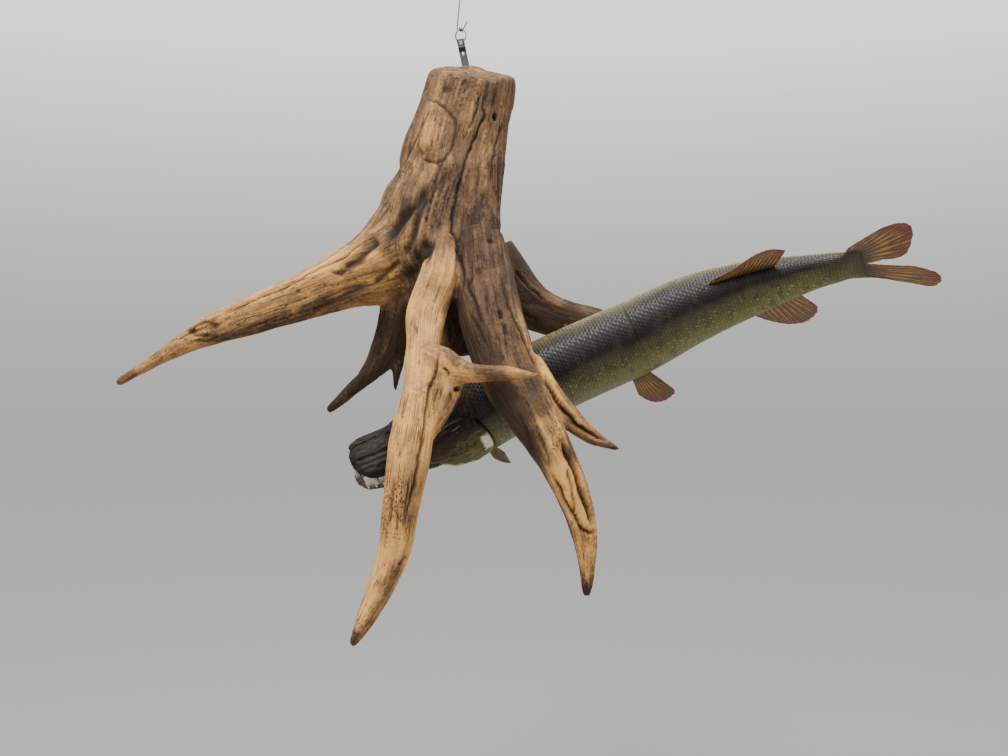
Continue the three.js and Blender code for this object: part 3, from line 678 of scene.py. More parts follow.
class Shader:
    def __init__(self, name, tree=None):
        if tree is None:
            self.material = bpy.data.materials.new(name)
            self.material.use_nodes = True
            tree = self.material.node_tree
            tree.nodes.clear()
        self.tree = tree
        self.column = 0

    # A new node with its settings, and with its sockets linked or set.
    def node(self, kind, sockets=(), **settings):
        made = self.tree.nodes.new(kind)
        made.location = (self.column * 200 - 1600, -60 * (self.column % 5))
        self.column += 1
        for key, value in settings.items():
            setattr(made, key, value)
        for key, value in dict(sockets).items():
            self.link(value, made.inputs[key])
        return made

    # The source is another node's output, a number, a vector or a colour of three numbers.
    def link(self, source, socket):
        if hasattr(source, "is_output"):
            self.tree.links.new(source, socket)
        elif socket.type == "RGBA":
            socket.default_value = (*source, 1)
        else:
            socket.default_value = source

    def attribute(self, name, output="Fac"):
        return self.node("ShaderNodeAttribute", attribute_name=name).outputs[output]

    def objectPlace(self):
        return self.node("ShaderNodeTexCoord").outputs["Object"]

    def math(self, operation, a, b=0.0, clamp=False):
        return self.node("ShaderNodeMath", {0: a, 1: b}, operation=operation, use_clamp=clamp).outputs[0]

    def times(self, a, b, clamp=False):
        return self.math("MULTIPLY", a, b, clamp)

    def plus(self, a, b):
        return self.math("ADD", a, b)

    def minus(self, a, b):
        return self.math("SUBTRACT", a, b)

    def apart(self, vector):
        return self.node("ShaderNodeSeparateXYZ", {0: vector}).outputs

    def scaled(self, vector, factors):
        made = self.node("ShaderNodeVectorMath", {0: vector, 1: factors}, operation="MULTIPLY")
        return made.outputs[0]

    def cells(self, vector, scale, randomness=1.0):
        sockets = {"Vector": vector, "Scale": scale, "Randomness": randomness}
        return self.node("ShaderNodeTexVoronoi", sockets).outputs["Distance"]

    def noise(self, vector, scale, detail=3.0, roughness=0.55, distortion=0.0):
        sockets = {"Vector": vector, "Scale": scale, "Detail": detail}
        sockets.update({"Roughness": roughness, "Distortion": distortion})
        return self.node("ShaderNodeTexNoise", sockets).outputs["Fac"]

    def pick(self, value, low, high):
        sockets = {"Value": value, "From Min": low, "From Max": high}
        made = self.node("ShaderNodeMapRange", sockets, interpolation_type="SMOOTHSTEP")
        return made.outputs["Result"]

    def ramp(self, value, stops):
        made = self.node("ShaderNodeValToRGB", {"Fac": value})
        elements = made.color_ramp.elements
        while len(elements) < len(stops):
            elements.new(0.5)
        for element, (place, color) in zip(elements, stops):
            element.position = place
            element.color = (*color, 1)
        return made.outputs["Color"]

    def mix(self, share, a, b, how="MIX"):
        sockets = {"Factor": share, 6: a, 7: b}
        return self.node("ShaderNodeMix", sockets, data_type="RGBA", blend_type=how).outputs[2]

    def bump(self, height, strength, distance):
        sockets = {"Height": height, "Strength": strength, "Distance": distance}
        return self.node("ShaderNodeBump", sockets).outputs["Normal"]

    def finish(self, color, roughness, normal=None, **constants):
        surface = self.node("ShaderNodeBsdfPrincipled", {"Base Color": color, "Roughness": roughness})
        if normal is not None:
            self.link(normal, surface.inputs["Normal"])
        for key, value in constants.items():
            surface.inputs[key.replace("_", " ")].default_value = value
        self.node("ShaderNodeOutputMaterial", {"Surface": surface.outputs[0]})
        return self.material


# A shader that fills a new node group with these sockets, each given by its name and kind.
def newGroup(name, inputs, outputs):
    tree = bpy.data.node_groups.new(name, "ShaderNodeTree")
    for way, sockets in (("INPUT", inputs), ("OUTPUT", outputs)):
        for socket, kind in sockets.items():
            tree.interface.new_socket(socket, in_out=way, socket_type="NodeSocket" + kind)
    return Shader(name, tree)


woodLook = {
    "pale": (0.72, 0.375, 0.108),
    "golden": (0.44, 0.225, 0.078),
    "brown": (0.165, 0.090, 0.042),
    "dim": (0.050, 0.028, 0.017),
    "crack": (0.012, 0.008, 0.006),
    "grey": (0.16, 0.125, 0.090),
    "fibreScale": 330.0,
    "bandScale": 85.0,
    "lineScale": 150.0,
    "holeScale": 420.0,
    "stretch": 0.05,
    "lineStretch": 0.035,
    "holeStretch": 0.55,
}


def woodMaterial():
    look = woodLook
    shader = Shader("driftwood")
    grain = shader.attribute("grain", "Vector")
    stretched = shader.scaled(grain, (1, 1, look["stretch"]))
    fibre = shader.noise(stretched, look["fibreScale"], 4, 0.65)
    band = shader.noise(stretched, look["bandScale"], 3, 0.55, 0.4)
    drawn = shader.scaled(grain, (1, 1, look["lineStretch"]))
    line = shader.noise(drawn, look["lineScale"], 2, 0.5, 0.25)
    place = shader.objectPlace()
    blotch = shader.noise(place, 24, 4, 0.62)
    speck = shader.noise(place, 210, 3, 0.6)
    stain = shader.noise(place, 9, 3, 0.6)
    # The tone holds painted light and shade from the limbs, grooves and strips; the wood's own blotches,
    # bands, fibres and specks are added to it.
    tone = shader.attribute("tone")
    for source, much in ((blotch, 0.75), (band, 0.85), (fibre, 0.75), (speck, 0.55)):
        tone = shader.plus(tone, shader.times(shader.minus(source, 0.5), much))
    stops = [(0.0, look["pale"]), (0.3, look["golden"]), (0.62, look["brown"]), (1.0, look["dim"])]
    color = shader.ramp(tone, stops)
    color = shader.mix(shader.times(shader.pick(stain, 0.55, 0.75), 0.22), color, look["grey"])
    away = shader.math("ABSOLUTE", shader.minus(line, 0.5))
    hairline = shader.times(shader.pick(away, 0.022, 0.004), shader.pick(blotch, 0.46, 0.56))
    cells = shader.cells(shader.scaled(grain, (1, 1, look["holeStretch"])), look["holeScale"])
    hole = shader.times(shader.pick(cells, 0.46, 0.26), shader.pick(speck, 0.38, 0.50))
    hole = shader.times(hole, shader.attribute("worms"), True)
    dark = shader.math("MAXIMUM", shader.attribute("dark"), hole)
    dark = shader.math("MAXIMUM", dark, shader.times(hairline, 0.75))
    color = shader.mix(shader.times(dark, 0.93), color, look["crack"])
    height = shader.plus(shader.times(fibre, 0.8), shader.times(band, 0.5))
    height = shader.plus(height, shader.times(speck, 0.25))
    height = shader.minus(height, shader.times(shader.math("MAXIMUM", hole, hairline), 0.8))
    normal = shader.bump(height, 0.9, 0.0014)
    return shader.finish(color, 0.85, normal, Specular_IOR_Level=0.22)


# The pike, drawn straight as in the part: s behind the snout, left and up from the spine, in
# millimetres. Then it is bent along the spine.

spineThrough = [
    [-141, -204, -592], [-74, -184, -568], [-4, -166, -541], [60, -156, -508], [147, -150, -466],
    [239, -150, -425], [313, -158, -388], [373, -172, -366], [440, -195, -347], [512, -221, -333],
    [580, -244, -329],
]
roll = smoothTable([[0, 64], [300, 69], [550, 64], [820, 55]])
bodyShape = smoothTable([
    [0, 12, 3, -4], [5, 22, 6, -8], [16, 30, 8, -11], [40, 33, 11, -14], [62, 35, 17, -17],
    [82, 38, 26, -21], [108, 43, 33, -30], [126, 49, 40, -48], [150, 52, 49, -57], [183, 51, 58, -61],
    [250, 49, 64, -67], [330, 48, 66, -68], [430, 46, 64, -66], [500, 42, 58, -59], [560, 36, 50, -48],
    [620, 28, 40, -38], [670, 19, 30, -29], [705, 14, 26, -26], [738, 7, 31, -31],
])
jawShape = smoothTable([
    [0, 10, -7, -13], [5, 18, -6, -18], [18, 25, -9, -23], [50, 28, -13, -29], [90, 33, -17, -38],
    [124, 38, -21, -46],
])

pike = {
    "voxel": 1.75,
    "quickVoxel": 2.6,
    "skinDepth": 0.5,
    "jawOpen": 24,
    "hinge": (112, 0, -20),
    "stalkEnd": 738,
    "eyeRadius": 10,
    "eyePlace": (80, 27, 13),
    "coverLow": -0.95,
    "coverHigh": 1.15,
    "coverRear": 180,
    "coverBow": 14,
    "tonguePlace": (58, 0, -17),
    "tongueSize": (34, 9, 4),
    "nostril": (58, 17, 13),
    "pores": [(40, 20, 9), (30, 22, 7), (66, 30, 4), (96, 38, -2), (104, 36, 8), (118, 41, 2)],
    "scaleLength": 6.0,
    "scaleRows": 26,
    "squareness": 0.88,
    "bandShift": 0.14,
}


def makeBend():
    ts = np.linspace(0, 1, 401)
    line = curveThrough(spineThrough, ts)
    run = np.r_[0, np.cumsum(np.linalg.norm(np.diff(line, axis=0), axis=1))]
    whole = run[-1]

    def at(straight):
        s, left, up = np.asarray(straight, float).T
        inside = np.clip(s, 0, whole)
        t = np.interp(inside, run, ts)
        low, high = np.clip(t - 1e-4, 0, 1), np.clip(t + 1e-4, 0, 1)
        along = curveThrough(spineThrough, high) - curveThrough(spineThrough, low)
        along /= np.linalg.norm(along, axis=1)[:, None]
        middle = curveThrough(spineThrough, t) + along * (s - inside)[:, None]
        viewer = np.array([0, -1.0, 0]) + along * along[:, 1:2]
        viewer /= np.linalg.norm(viewer, axis=1)[:, None]
        above = np.cross(viewer, along)
        angle = np.radians(roll(s)[:, 0])[:, None]
        dorsal = viewer * np.sin(angle) + above * np.cos(angle)
        side = np.cross(along, dorsal)
        return (middle + side * left[:, None] + dorsal * up[:, None]) * mm

    return at


bend = makeBend()


def onSection(shape, s, angle, off=0.0):
    halfWidth, top, bottom = shape(s).T
    across, rise = np.cos(angle), np.sin(angle)
    power = pike["squareness"]
    across = np.sign(across) * np.abs(across) ** power
    rise = np.sign(rise) * np.abs(rise) ** power
    return np.c_[s, (halfWidth + off) * across, (top + bottom) / 2 + ((top - bottom) / 2 + off) * rise]


def angleOn(shape, straight):
    halfWidth, top, bottom = shape(straight[:, 0]).T
    across = straight[:, 1] / halfWidth
    rise = (straight[:, 2] - (top + bottom) / 2) / ((top - bottom) / 2)
    power = 1 / pike["squareness"]
    angle = np.arctan2(np.sign(rise) * np.abs(rise) ** power, np.sign(across) * np.abs(across) ** power)
    return angle, np.hypot(np.abs(across) ** power, np.abs(rise) ** power) ** pike["squareness"]


# A closed length of the body or the jaw, grown by off and raised by lift.
def lengthOf(name, shape, start, end, rings, sides, off=0.0, ends=(0, 0), lift=0.0):
    along = np.repeat(np.linspace(start, end, rings + 1), sides)
    angle = np.tile(np.linspace(0, 2 * math.pi, sides, endpoint=False), rings + 1)
    points = onSection(shape, along, angle, off) + [0, 0, lift]
    middles = []
    for s, out in ((start, -ends[0]), (end, ends[1])):
        _, top, bottom = shape(s)[0]
        middles.append(np.array([s + out, 0, (top + bottom) / 2 + lift]))
    return closedTube(name, points.reshape(rings + 1, sides, 3) * mm, middles[0] * mm, middles[1] * mm)


def turnAbout(straight, place, degrees):
    angle = math.radians(degrees)
    away = straight - np.array(place, float)
    turned = np.c_[
        away[:, 0] * math.cos(angle) - away[:, 2] * math.sin(angle),
        away[:, 1],
        away[:, 0] * math.sin(angle) + away[:, 2] * math.cos(angle),
    ]
    return turned + np.array(place, float)


def openJaw(obj):
    setPoints(obj, turnAbout(pointsOf(obj) / mm, pike["hinge"], pike["jawOpen"]) * mm)


# The tail's skin thins to the fin that it carries.
def thinTail(straight):
    thin = 1 - 0.72 * step(700, pike["stalkEnd"], straight[:, 0])
    return np.c_[straight[:, 0], straight[:, 1] * thin, straight[:, 2]]


def straightSkin():
    rear = pike["stalkEnd"] - 0.5
    body = lengthOf("pike_skin", bodyShape, 0, rear, 260, 96, -pike["skinDepth"], (1.5, 0))
    mouth = lengthOf("mouth", bodyShape, 3, 126, 60, 48, -3.4)
    palate = lengthOf("palate", jawShape, -2, 124, 60, 48, lift=4)
    cutAway(mouth, palate, "INTERSECT")
    cutAway(body, mouth)
    jaw = lengthOf("jaw", jawShape, 0, 118, 60, 48, -0.3, (1, 3))
    scoop = lengthOf("scoop", jawShape, 7, 116, 50, 48, -3.6, lift=6)
    cutAway(jaw, scoop)
    openJaw(jaw)
    skin = joinObjects("pike_skin", [body, jaw])
    voxel = pike["voxel"]
    applyModifier(skin, "REMESH", mode="VOXEL", voxel_size=voxel * mm)
    applyModifier(skin, "SMOOTH", factor=0.5, iterations=3)
    return skin


# How far a point lies behind the gill cover's rear edge, and how far it lies inside its ends.
def coverPlace(s, angle):
    folded = np.where(np.cos(angle) < 0, np.sign(np.sin(angle)) * math.pi - angle, angle)
    share = (folded - pike["coverLow"]) / (pike["coverHigh"] - pike["coverLow"])
    bulge = np.sin(np.clip(share, 0, 1) * math.pi)
    rear = pike["coverRear"] - pike["coverBow"] * (1 - bulge)
    return s - rear, np.minimum(share, 1 - share)


# The head's raised and sunken forms, the gill slit, and the bare pale skin behind and below it.
def headRelief(straight):
    s = straight[:, 0]
    angle, reach = angleOn(bodyShape, straight)
    outside = step(0.86, 0.95, reach)
    behind, within = coverPlace(s, angle)
    onCover = step(-0.02, 0.06, within) * outside
    rise = 1.8 * onCover * step(-46, -40, behind) * step(0.6, -0.6, behind)
    slit = onCover * np.exp(-(((behind - 2.0) / 1.5) ** 2))
    seam = onCover * np.exp(-(((s - 151 - 5 * np.sin(3 * angle)) / 1.3) ** 2))
    wrinkled = noise(straight / [46, 4.2, 4.2], 61) + 0.55 * noise(straight / [34, 2.6, 2.6], 65)
    cheek = step(96, 112, s) * step(172, 158, s) * outside
    rough = 2.0 * cheek * noise(straight / [16, 4, 4], 64)
    snout = step(104, 60, s) * outside
    rise += rough + snout * 2.0 * wrinkled + 0.35 * noise(straight / 9, 62) * step(180, 120, s)
    rise -= 5 * slit + 0.9 * seam
    eye = np.array(pike["eyePlace"], float)
    side = np.abs(straight[:, 1])
    folded = np.c_[s, side, straight[:, 2]]
    away = np.linalg.norm(folded - eye, axis=1)
    rise += 1.6 * np.exp(-(((away - 13.2) / 1.8) ** 2)) * outside
    rise -= 2.6 * step(3.4, 1.2, np.linalg.norm(folded - pike["nostril"], axis=1))
    for place in pike["pores"]:
        rise -= 1.2 * step(2.4, 0.8, np.linalg.norm(folded - place, axis=1))
    throat = step(-0.95, -1.2, np.where(np.cos(angle) < 0, -math.pi - angle, angle))
    rise += 0.8 * throat * outside * np.sin(side / 1.9) * step(100, 116, s) * step(182, 170, s)
    ragged = 1.6 * noise(straight / 4, 63)
    bare = step(-14, -10, behind + ragged) * step(1, -1, behind) * step(-0.02, 0.08, angle + ragged / 40)
    bare *= step(0.62, 0.5, angle + ragged / 40) * outside
    lip = np.exp(-(((angle + 0.27) / 0.07) ** 2)) * step(112, 122, s) * step(156, 148, s) * outside
    return rise, slit, np.maximum(bare, 0.8 * lip)


# Which points line the mouth, and which lie on the lower jaw.
def insideMouth(straight):
    s = straight[:, 0]
    _, headReach = angleOn(bodyShape, straight)
    shut = turnAbout(straight, pike["hinge"], -pike["jawOpen"])
    _, jawReach = angleOn(jawShape, shut)
    inHead = (headReach < 0.93) & (s < 127) & (s > 15)
    onJaw = step(1.04, 1.10, headReach) * (s < 120) * (shut[:, 0] < 112)
    inJaw = (jawReach < 0.93) & (shut[:, 0] < 116) & (shut[:, 0] > 9)
    return np.where(inHead | inJaw, 1.0, 0.0), onJaw


# Where each point lies in the markings: along, round from the back, and high or low.
def markingPlace(straight):
    angle, _ = angleOn(bodyShape, straight)
    halfWidth, top, bottom = bodyShape(straight[:, 0]).T
    fromBack = np.abs(math.pi / 2 - pike["bandShift"] - angle)
    fromBack = np.where(fromBack > math.pi, 2 * math.pi - fromBack, fromBack)
    girth = fromBack * (halfWidth + (top - bottom) / 2) / 2
    around = girth * np.sign(straight[:, 1] + 1e-9)
    return np.c_[straight[:, 0], around, 100 * (1 - fromBack / math.pi)] * mm


def buildSkin():
    skin = straightSkin()
    straight = pointsOf(skin) / mm
    outward = normalsOf(skin)
    mouth, jaw = insideMouth(straight)
    rise, slit, bare = headRelief(straight)
    relief = rise * (1 - mouth) * step(230, 190, straight[:, 0])
    shaped = straight + outward * relief[:, None]
    eye = np.array(pike["eyePlace"], float)
    for sign in (1, -1):
        away = shaped - eye * [1, sign, 1]
        distance = np.linalg.norm(away, axis=1)
        socket = pike["eyeRadius"] - 1.0
        inside = distance < socket
        share = socket / np.maximum(distance[inside], 1e-6) - 1
        shaped[inside] -= away[inside] * share[:, None]
    setPoints(skin, bend(thinTail(shaped)))
    makeSolid(skin)
    store(skin, "lie", markingPlace(straight))
    for mark, values in (("mouth", mouth), ("jaw", jaw), ("slit", slit), ("bare", bare)):
        store(skin, mark, values)
    dress(skin, skinMaterial())
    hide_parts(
        "skull", "gill_cover_left", "gill_cover_right", "lower_jaw", "trunk_front",
        "trunk_middle", "trunk_rear", "tail_stalk",
    )
    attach(skin, "root")
    print("skin:", len(skin.data.polygons), "faces")


# Scales: each is a thin rounded plate, rooted in the skin and lifted a little at its rear edge.

scalePlate = {
    "outline": [
        [0, 0], [0.3, 0.52], [0.72, 0.5], [0.95, 0.25],
        [1.02, 0], [0.95, -0.25], [0.72, -0.5], [0.3, -0.52],
    ],
    "lift": [-0.55, -0.12, 0.10, 0.22, 0.26, 0.22, 0.10, -0.12],
    "reach": [0, 0.3, 0.7, 0.95, 1, 0.95, 0.7, 0.3],
    "thick": 0.35,
    "middleLift": 0.30,
    "middleReach": 0.55,
    "patch": 0.003,
    "pitch": 0.72,
    "stalkFrom": 640,
    "stalkShare": 0.72,
    "overlap": 1.14,
    "jitter": 0.10,
}


# The roots of the scales: s and the angle round the body, with the angle each one spans.
def scaleRoots(start, end):
    places, spans = [], []
    pitch = pike["scaleLength"] * scalePlate["pitch"]
    for row in range(int((end - start) / pitch)):
        s = start + row * pitch
        count = 2 * pike["scaleRows"]
        if s > scalePlate["stalkFrom"]:
            count = int(count * scalePlate["stalkShare"])
        angle = (np.arange(count) + 0.5 * (row % 2)) / count * 2 * math.pi - math.pi / 2
        places.append(np.c_[np.full(count, s), angle])
        spans.append(np.full(count, 2 * math.pi / count * scalePlate["overlap"]))
    places, spans = np.vstack(places), np.concatenate(spans)
    behind, within = coverPlace(places[:, 0], places[:, 1])
    keep = ~((behind < 5) & (within > -0.06)) & (places[:, 0] > 150)
    return places[keep], spans[keep]


def buildScales(name, start, end):
    places, spans = scaleRoots(start, end)
    outline, lift = np.array(scalePlate["outline"]), np.array(scalePlate["lift"])
    count, corners = len(places), len(outline)
    grid = np.c_[places * 9, np.zeros(count)]
    jitter = scalePlate["jitter"] * np.c_[noise(grid, 71), noise(grid, 72)]
    s = (places[:, :1] + (outline[:, 0] + jitter[:, :1]) * pike["scaleLength"]).ravel()
    angle = (places[:, 1:] + (outline[:, 1] + jitter[:, 1:]) * spans[:, None]).ravel()
    lifts = np.tile(lift, count)
    upper = onSection(bodyShape, s, angle, lifts).reshape(count, corners, 3)
    lower = onSection(bodyShape, s, angle, lifts - scalePlate["thick"]).reshape(count, corners, 3)
    middle = places + [scalePlate["middleReach"] * pike["scaleLength"], 0]
    centre = onSection(bodyShape, middle[:, 0], middle[:, 1], scalePlate["middleLift"])
    straight = np.concatenate([upper, lower, centre[:, None]], 1).reshape(-1, 3)

    faces = []
    for base in range(0, count * (2 * corners + 1), 2 * corners + 1):
        for k in range(corners):
            after = (k + 1) % corners
            faces.append((base + k, base + after, base + 2 * corners))
            faces.append((base + after, base + k, base + corners + k, base + corners + after))
        faces.append(tuple(range(base + 2 * corners - 1, base + corners - 1, -1)))
    obj = makeObject(name, bend(thinTail(straight)), faces)
    makeSolid(obj)
    store(obj, "lie", markingPlace(straight))
    store(obj, "plate", np.tile(scalePlate["reach"] * 2 + [scalePlate["middleReach"]], count))

    # Each scale's patch of the unwrap lies where its root does.
    root = np.c_[places[:, 0] / 760, 0.2 + 0.6 * (places[:, 1] / (2 * math.pi) % 1)]
    across = np.linspace(0, 1, corners)
    spread = np.vstack([np.c_[across, 0 * across], np.c_[across, 0 * across + 1], [[0.5, 0.5]]])
    patches = (root[:, None] + (spread - 0.5) * scalePlate["patch"]).reshape(-1, 2)
    index = np.zeros(len(obj.data.loops), int)
    obj.data.loops.foreach_get("vertex_index", index)
    layer = obj.data.uv_layers.new(name="OFBake")
    layer.data.foreach_set("uv", patches[index].ravel())
    obj.data.materials.append(scaleMaterial())
    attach(obj, "root")
    print(name + ":", count, "scales,", len(obj.data.polygons), "faces")


pikeLook = {
    "back": (0.012, 0.008, 0.007),
    "shoulder": (0.075, 0.064, 0.032),
    "flank": (0.155, 0.140, 0.036),
    "low": (0.200, 0.178, 0.036),
    "belly": (0.46, 0.40, 0.20),
    "spot": (0.42, 0.37, 0.12),
    "bar": (0.036, 0.030, 0.015),
    "snout": (0.009, 0.006, 0.005),
    "tailBase": (0.070, 0.055, 0.032),
    "lining": (0.42, 0.38, 0.33),
    "gill": (0.008, 0.005, 0.005),
    "bare": (0.85, 0.76, 0.58),
    "jaw": (0.060, 0.048, 0.036),
    "jawPale": (0.20, 0.18, 0.14),
    "mottle": (0.028, 0.020, 0.013),
    "stroke": (0.30, 0.27, 0.20),
}


# The colours of the skin and of the scales on it, from their place in the markings. The height in
# that place is a tenth at the back and nothing at the belly.
def markingsGroup():
    if "pikeMarkings" in bpy.data.node_groups:
        return bpy.data.node_groups["pikeMarkings"]
    look = pikeLook
    shader = newGroup("pikeMarkings", {"Place": "Vector"}, {"Color": "Color"})
    place = shader.node("NodeGroupInput").outputs["Place"]
    along, _, height = shader.apart(place)
    cloud = shader.noise(place, 26, 4, 0.6)
    level = shader.times(height, 10)
    level = shader.plus(level, shader.times(shader.minus(cloud, 0.5), 0.16))
    color = shader.ramp(level, [
        (0.0, look["belly"]), (0.20, look["belly"]), (0.38, look["low"]), (0.62, look["flank"]),
        (0.79, look["shoulder"]), (0.88, look["back"]),
    ])
    ripple = shader.noise(shader.scaled(place, (1, 0.35, 0.35)), 90, 2, 0.5)
    bars = shader.times(shader.pick(ripple, 0.52, 0.62), shader.pick(level, 0.30, 0.5))
    color = shader.mix(shader.times(bars, 0.45), color, look["bar"])
    cells = shader.cells(shader.scaled(place, (0.5, 1.3, 0)), 230, 0.8)
    spots = shader.times(shader.pick(cells, 0.36, 0.18), shader.pick(level, 0.84, 0.70))
    spots = shader.times(spots, shader.pick(cloud, 0.32, 0.50))
    spots = shader.times(spots, shader.pick(along, 0.15, 0.20))
    color = shader.mix(shader.times(spots, 0.6), color, look["spot"])
    snout = shader.times(shader.pick(along, 0.15, 0.08), shader.pick(level, 0.26, 0.42))
    color = shader.mix(snout, color, look["snout"])
    tailBase = shader.times(shader.pick(along, 0.660, 0.745), 0.9)
    color = shader.mix(tailBase, color, look["tailBase"])
    onHead = shader.pick(along, 0.176, 0.164)
    mottled = shader.noise(shader.scaled(place, (0.8, 1.3, 1.3)), 95, 5, 0.72, 0.5)
    mottled = shader.times(shader.pick(mottled, 0.44, 0.60), shader.pick(level, 0.16, 0.44))
    mottled = shader.times(mottled, onHead)
    color = shader.mix(shader.times(mottled, 0.78), color, look["mottle"])
    streak = shader.noise(shader.scaled(place, (0.28, 1.5, 1.5)), 150, 3, 0.6, 0.6)
    upper = shader.times(shader.pick(level, 0.58, 0.70), shader.pick(along, 0.112, 0.130))
    streak = shader.times(shader.pick(streak, 0.60, 0.68), shader.times(upper, onHead))
    color = shader.mix(shader.times(streak, 0.5), color, look["stroke"])
    shader.node("NodeGroupOutput", {"Color": color})
    return shader.tree


def markings(shader):
    sockets = {"Place": shader.attribute("lie", "Vector")}
    return shader.node("ShaderNodeGroup", sockets, node_tree=markingsGroup()).outputs["Color"]


def skinMaterial():
    shader = Shader("pike_skin")
    color = markings(shader)
    place = shader.attribute("lie", "Vector")
    blotch = shader.noise(place, 70, 4, 0.65)
    jaw = shader.mix(shader.pick(blotch, 0.50, 0.66), pikeLook["jaw"], pikeLook["jawPale"])
    color = shader.mix(shader.attribute("jaw"), color, jaw)
    lining = shader.mix(shader.pick(blotch, 0.50, 0.62), pikeLook["lining"], pikeLook["jaw"])
    color = shader.mix(shader.attribute("mouth"), color, lining)
    color = shader.mix(shader.attribute("slit"), color, pikeLook["gill"])
    color = shader.mix(shader.attribute("bare"), color, pikeLook["bare"])
    normal = shader.bump(shader.noise(place, 500, 3, 0.6), 0.3, 0.0008)
    return shader.finish(
        color, 0.50, normal, Specular_IOR_Level=0.12, Coat_Weight=0.04, Coat_Roughness=0.2,
    )


def scaleMaterial():
    name = "pike_scales"
    if name in bpy.data.materials:
        return bpy.data.materials[name]
    shader = Shader(name)
    color = markings(shader)
    # Each scale is drawn darker at its root as painted shade under the scale before it, and lighter at
    # its rear edge as a pale fleck.
    rootShadeAndFleck = [(0.0, (0.62, 0.62, 0.62)), (0.7, (1, 1, 1)), (1.0, (1.25, 1.22, 1.1))]
    color = shader.mix(1.0, color, shader.ramp(shader.attribute("plate"), rootShadeAndFleck), "MULTIPLY")
    return shader.finish(
        color, 0.46, None, Specular_IOR_Level=0.22, Coat_Weight=0.12, Coat_Roughness=0.12,
    )


# Fins: webs stiffened by rays, as in the part, with finer rays and a ragged edge.



# The same points on the fish's other side.
def mirrored(points):
    return [[s, -left, up] for s, left, up in points]


fins = {
    "dorsal_fin": {
        "root": [[532, 0, 46], [580, 0, 40], [626, 0, 33]],
        "edge": [[545, 0, 60], [585, 2, 74], [618, 3, 86], [637, 3, 85], [650, 2, 72]],
        "rays": 15,
    },
    "anal_fin": {
        "root": [[568, 0, -40], [606, 0, -34], [640, 0, -28]],
        "edge": [
            [572, 6, -54], [594, 11, -84], [620, 15, -99], [648, 16, -96], [666, 14, -72],
            [660, 11, -54],
        ],
        "rays": 14,
        "olive": 0.25,
    },
    "pelvic_fin_left": {
        "root": [[398, 26, -50], [406, 24, -51], [416, 20, -52]],
        "edge": [
            [399, 52, -74], [407, 60, -90], [418, 65, -99], [430, 67, -101], [440, 65, -90],
            [432, 50, -62],
        ],
        "rays": 10,
        "olive": 0.35,
    },
    "pelvic_fin_right": {
        "root": [[398, -26, -50], [406, -24, -51], [416, -20, -52]],
        "edge": [[420, -30, -84], [436, -30, -96], [452, -28, -94], [456, -24, -78]],
        "rays": 10,
    },
    "pectoral_fin_left": {
        "root": [[175, 38, -42], [179, 37, -43], [184, 36, -43]],
        "edge": [[177, 48, -58], [186, 53, -77], [196, 56, -91], [196, 55, -78], [192, 51, -50]],
        "rays": 9,
        "olive": 1.0,
    },
}
fins["pectoral_fin_right"] = {
    **fins["pectoral_fin_left"],
    "root": mirrored(fins["pectoral_fin_left"]["root"]),
    "edge": mirrored(fins["pectoral_fin_left"]["edge"]),
}
tailLobes = [
    {
        "root": [[714, 0, 24], [728, 0, 14], [736, 0, -1]],
        "edge": [
            [720, 0, 37], [745, 0, 57], [767, 1, 72], [789, 2, 75], [797, 3, 65], [796, 4, 40],
            [789, 4, 19], [776, 3, 11], [756, 2, 7], [747, 0, 1],
        ],
        "rays": 13,
    },
    {
        "root": [[714, 0, -22], [728, 0, -14], [736, 0, 1]],
        "edge": [
            [724, 0, -31], [752, -2, -35], [776, -6, -46], [801, -10, -62], [824, -13, -72],
            [833, -13, -64], [832, -12, -50], [819, -9, -36], [800, -7, -22], [771, -3, -11],
            [747, 0, -1],
        ],
        "rays": 13,
    },
]
finBuild = {
    "perRay": 8,
    "rows": 26,
    "ray": 1.9,
    "web": 0.62,
    "least": 0.27,
    "notch": 0.012,
    "ragged": 0.02,
    "wave": 1.0,
}


# A fin's surface as loops round its web, with each point's ray, reach and ridge. The rays fork
# halfway out.
def finShell(fin, seed):
    columns = fin["rays"] * finBuild["perRay"]
    rows = finBuild["rows"]
    share = np.linspace(0, 1, columns + 1)
    reach = np.linspace(0, 1, rows + 1)
    root, edge = curveThrough(fin["root"], share), curveThrough(fin["edge"], share)
    phase = share * fin["rays"]
    crest = np.abs(np.sin(math.pi * phase)) ** 3
    forked = np.abs(np.sin(2 * math.pi * phase)) ** 2
    ragged = noise(np.c_[phase * 0.9, phase * 0 + seed, phase * 0], 81)
    extent = 1 - finBuild["notch"] * (1 - crest) - finBuild["ragged"] * np.maximum(0, ragged)
    grid = root[:, None] + (edge - root)[:, None] * (reach[None, :] * extent[:, None])[:, :, None]
    outward = grid[:, -1:] - grid[:, :1]
    onward = np.gradient(grid, axis=0)
    aside = np.cross(np.broadcast_to(outward, grid.shape), onward)
    aside /= np.linalg.norm(aside, axis=2)[:, :, None]
    wave = finBuild["wave"] * np.sin(share * 9 + seed)[:, None] * reach[None, :] ** 2
    blend = step(0.45, 0.8, reach)[None, :]
    ridge = crest[:, None] * (1 - blend) + np.maximum(crest * 0.4, forked)[:, None] * blend
    web, ray = finBuild["web"], finBuild["ray"]
    half = (web + (ray - web) * ridge) / 2 * (1 - 0.3 * reach[None, :])
    half = np.maximum(half, finBuild["least"])
    middle = grid + aside * wave[:, :, None]
    over = middle + aside * half[:, :, None]
    under = middle - aside * half[:, :, None]
    loops = np.concatenate([under[:, ::-1], over], 1)
    marks = np.stack(np.broadcast_arrays(phase[:, None], reach[None, :], ridge), 2)
    marks = np.concatenate([marks[:, ::-1], marks], 1)
    return loops, marks


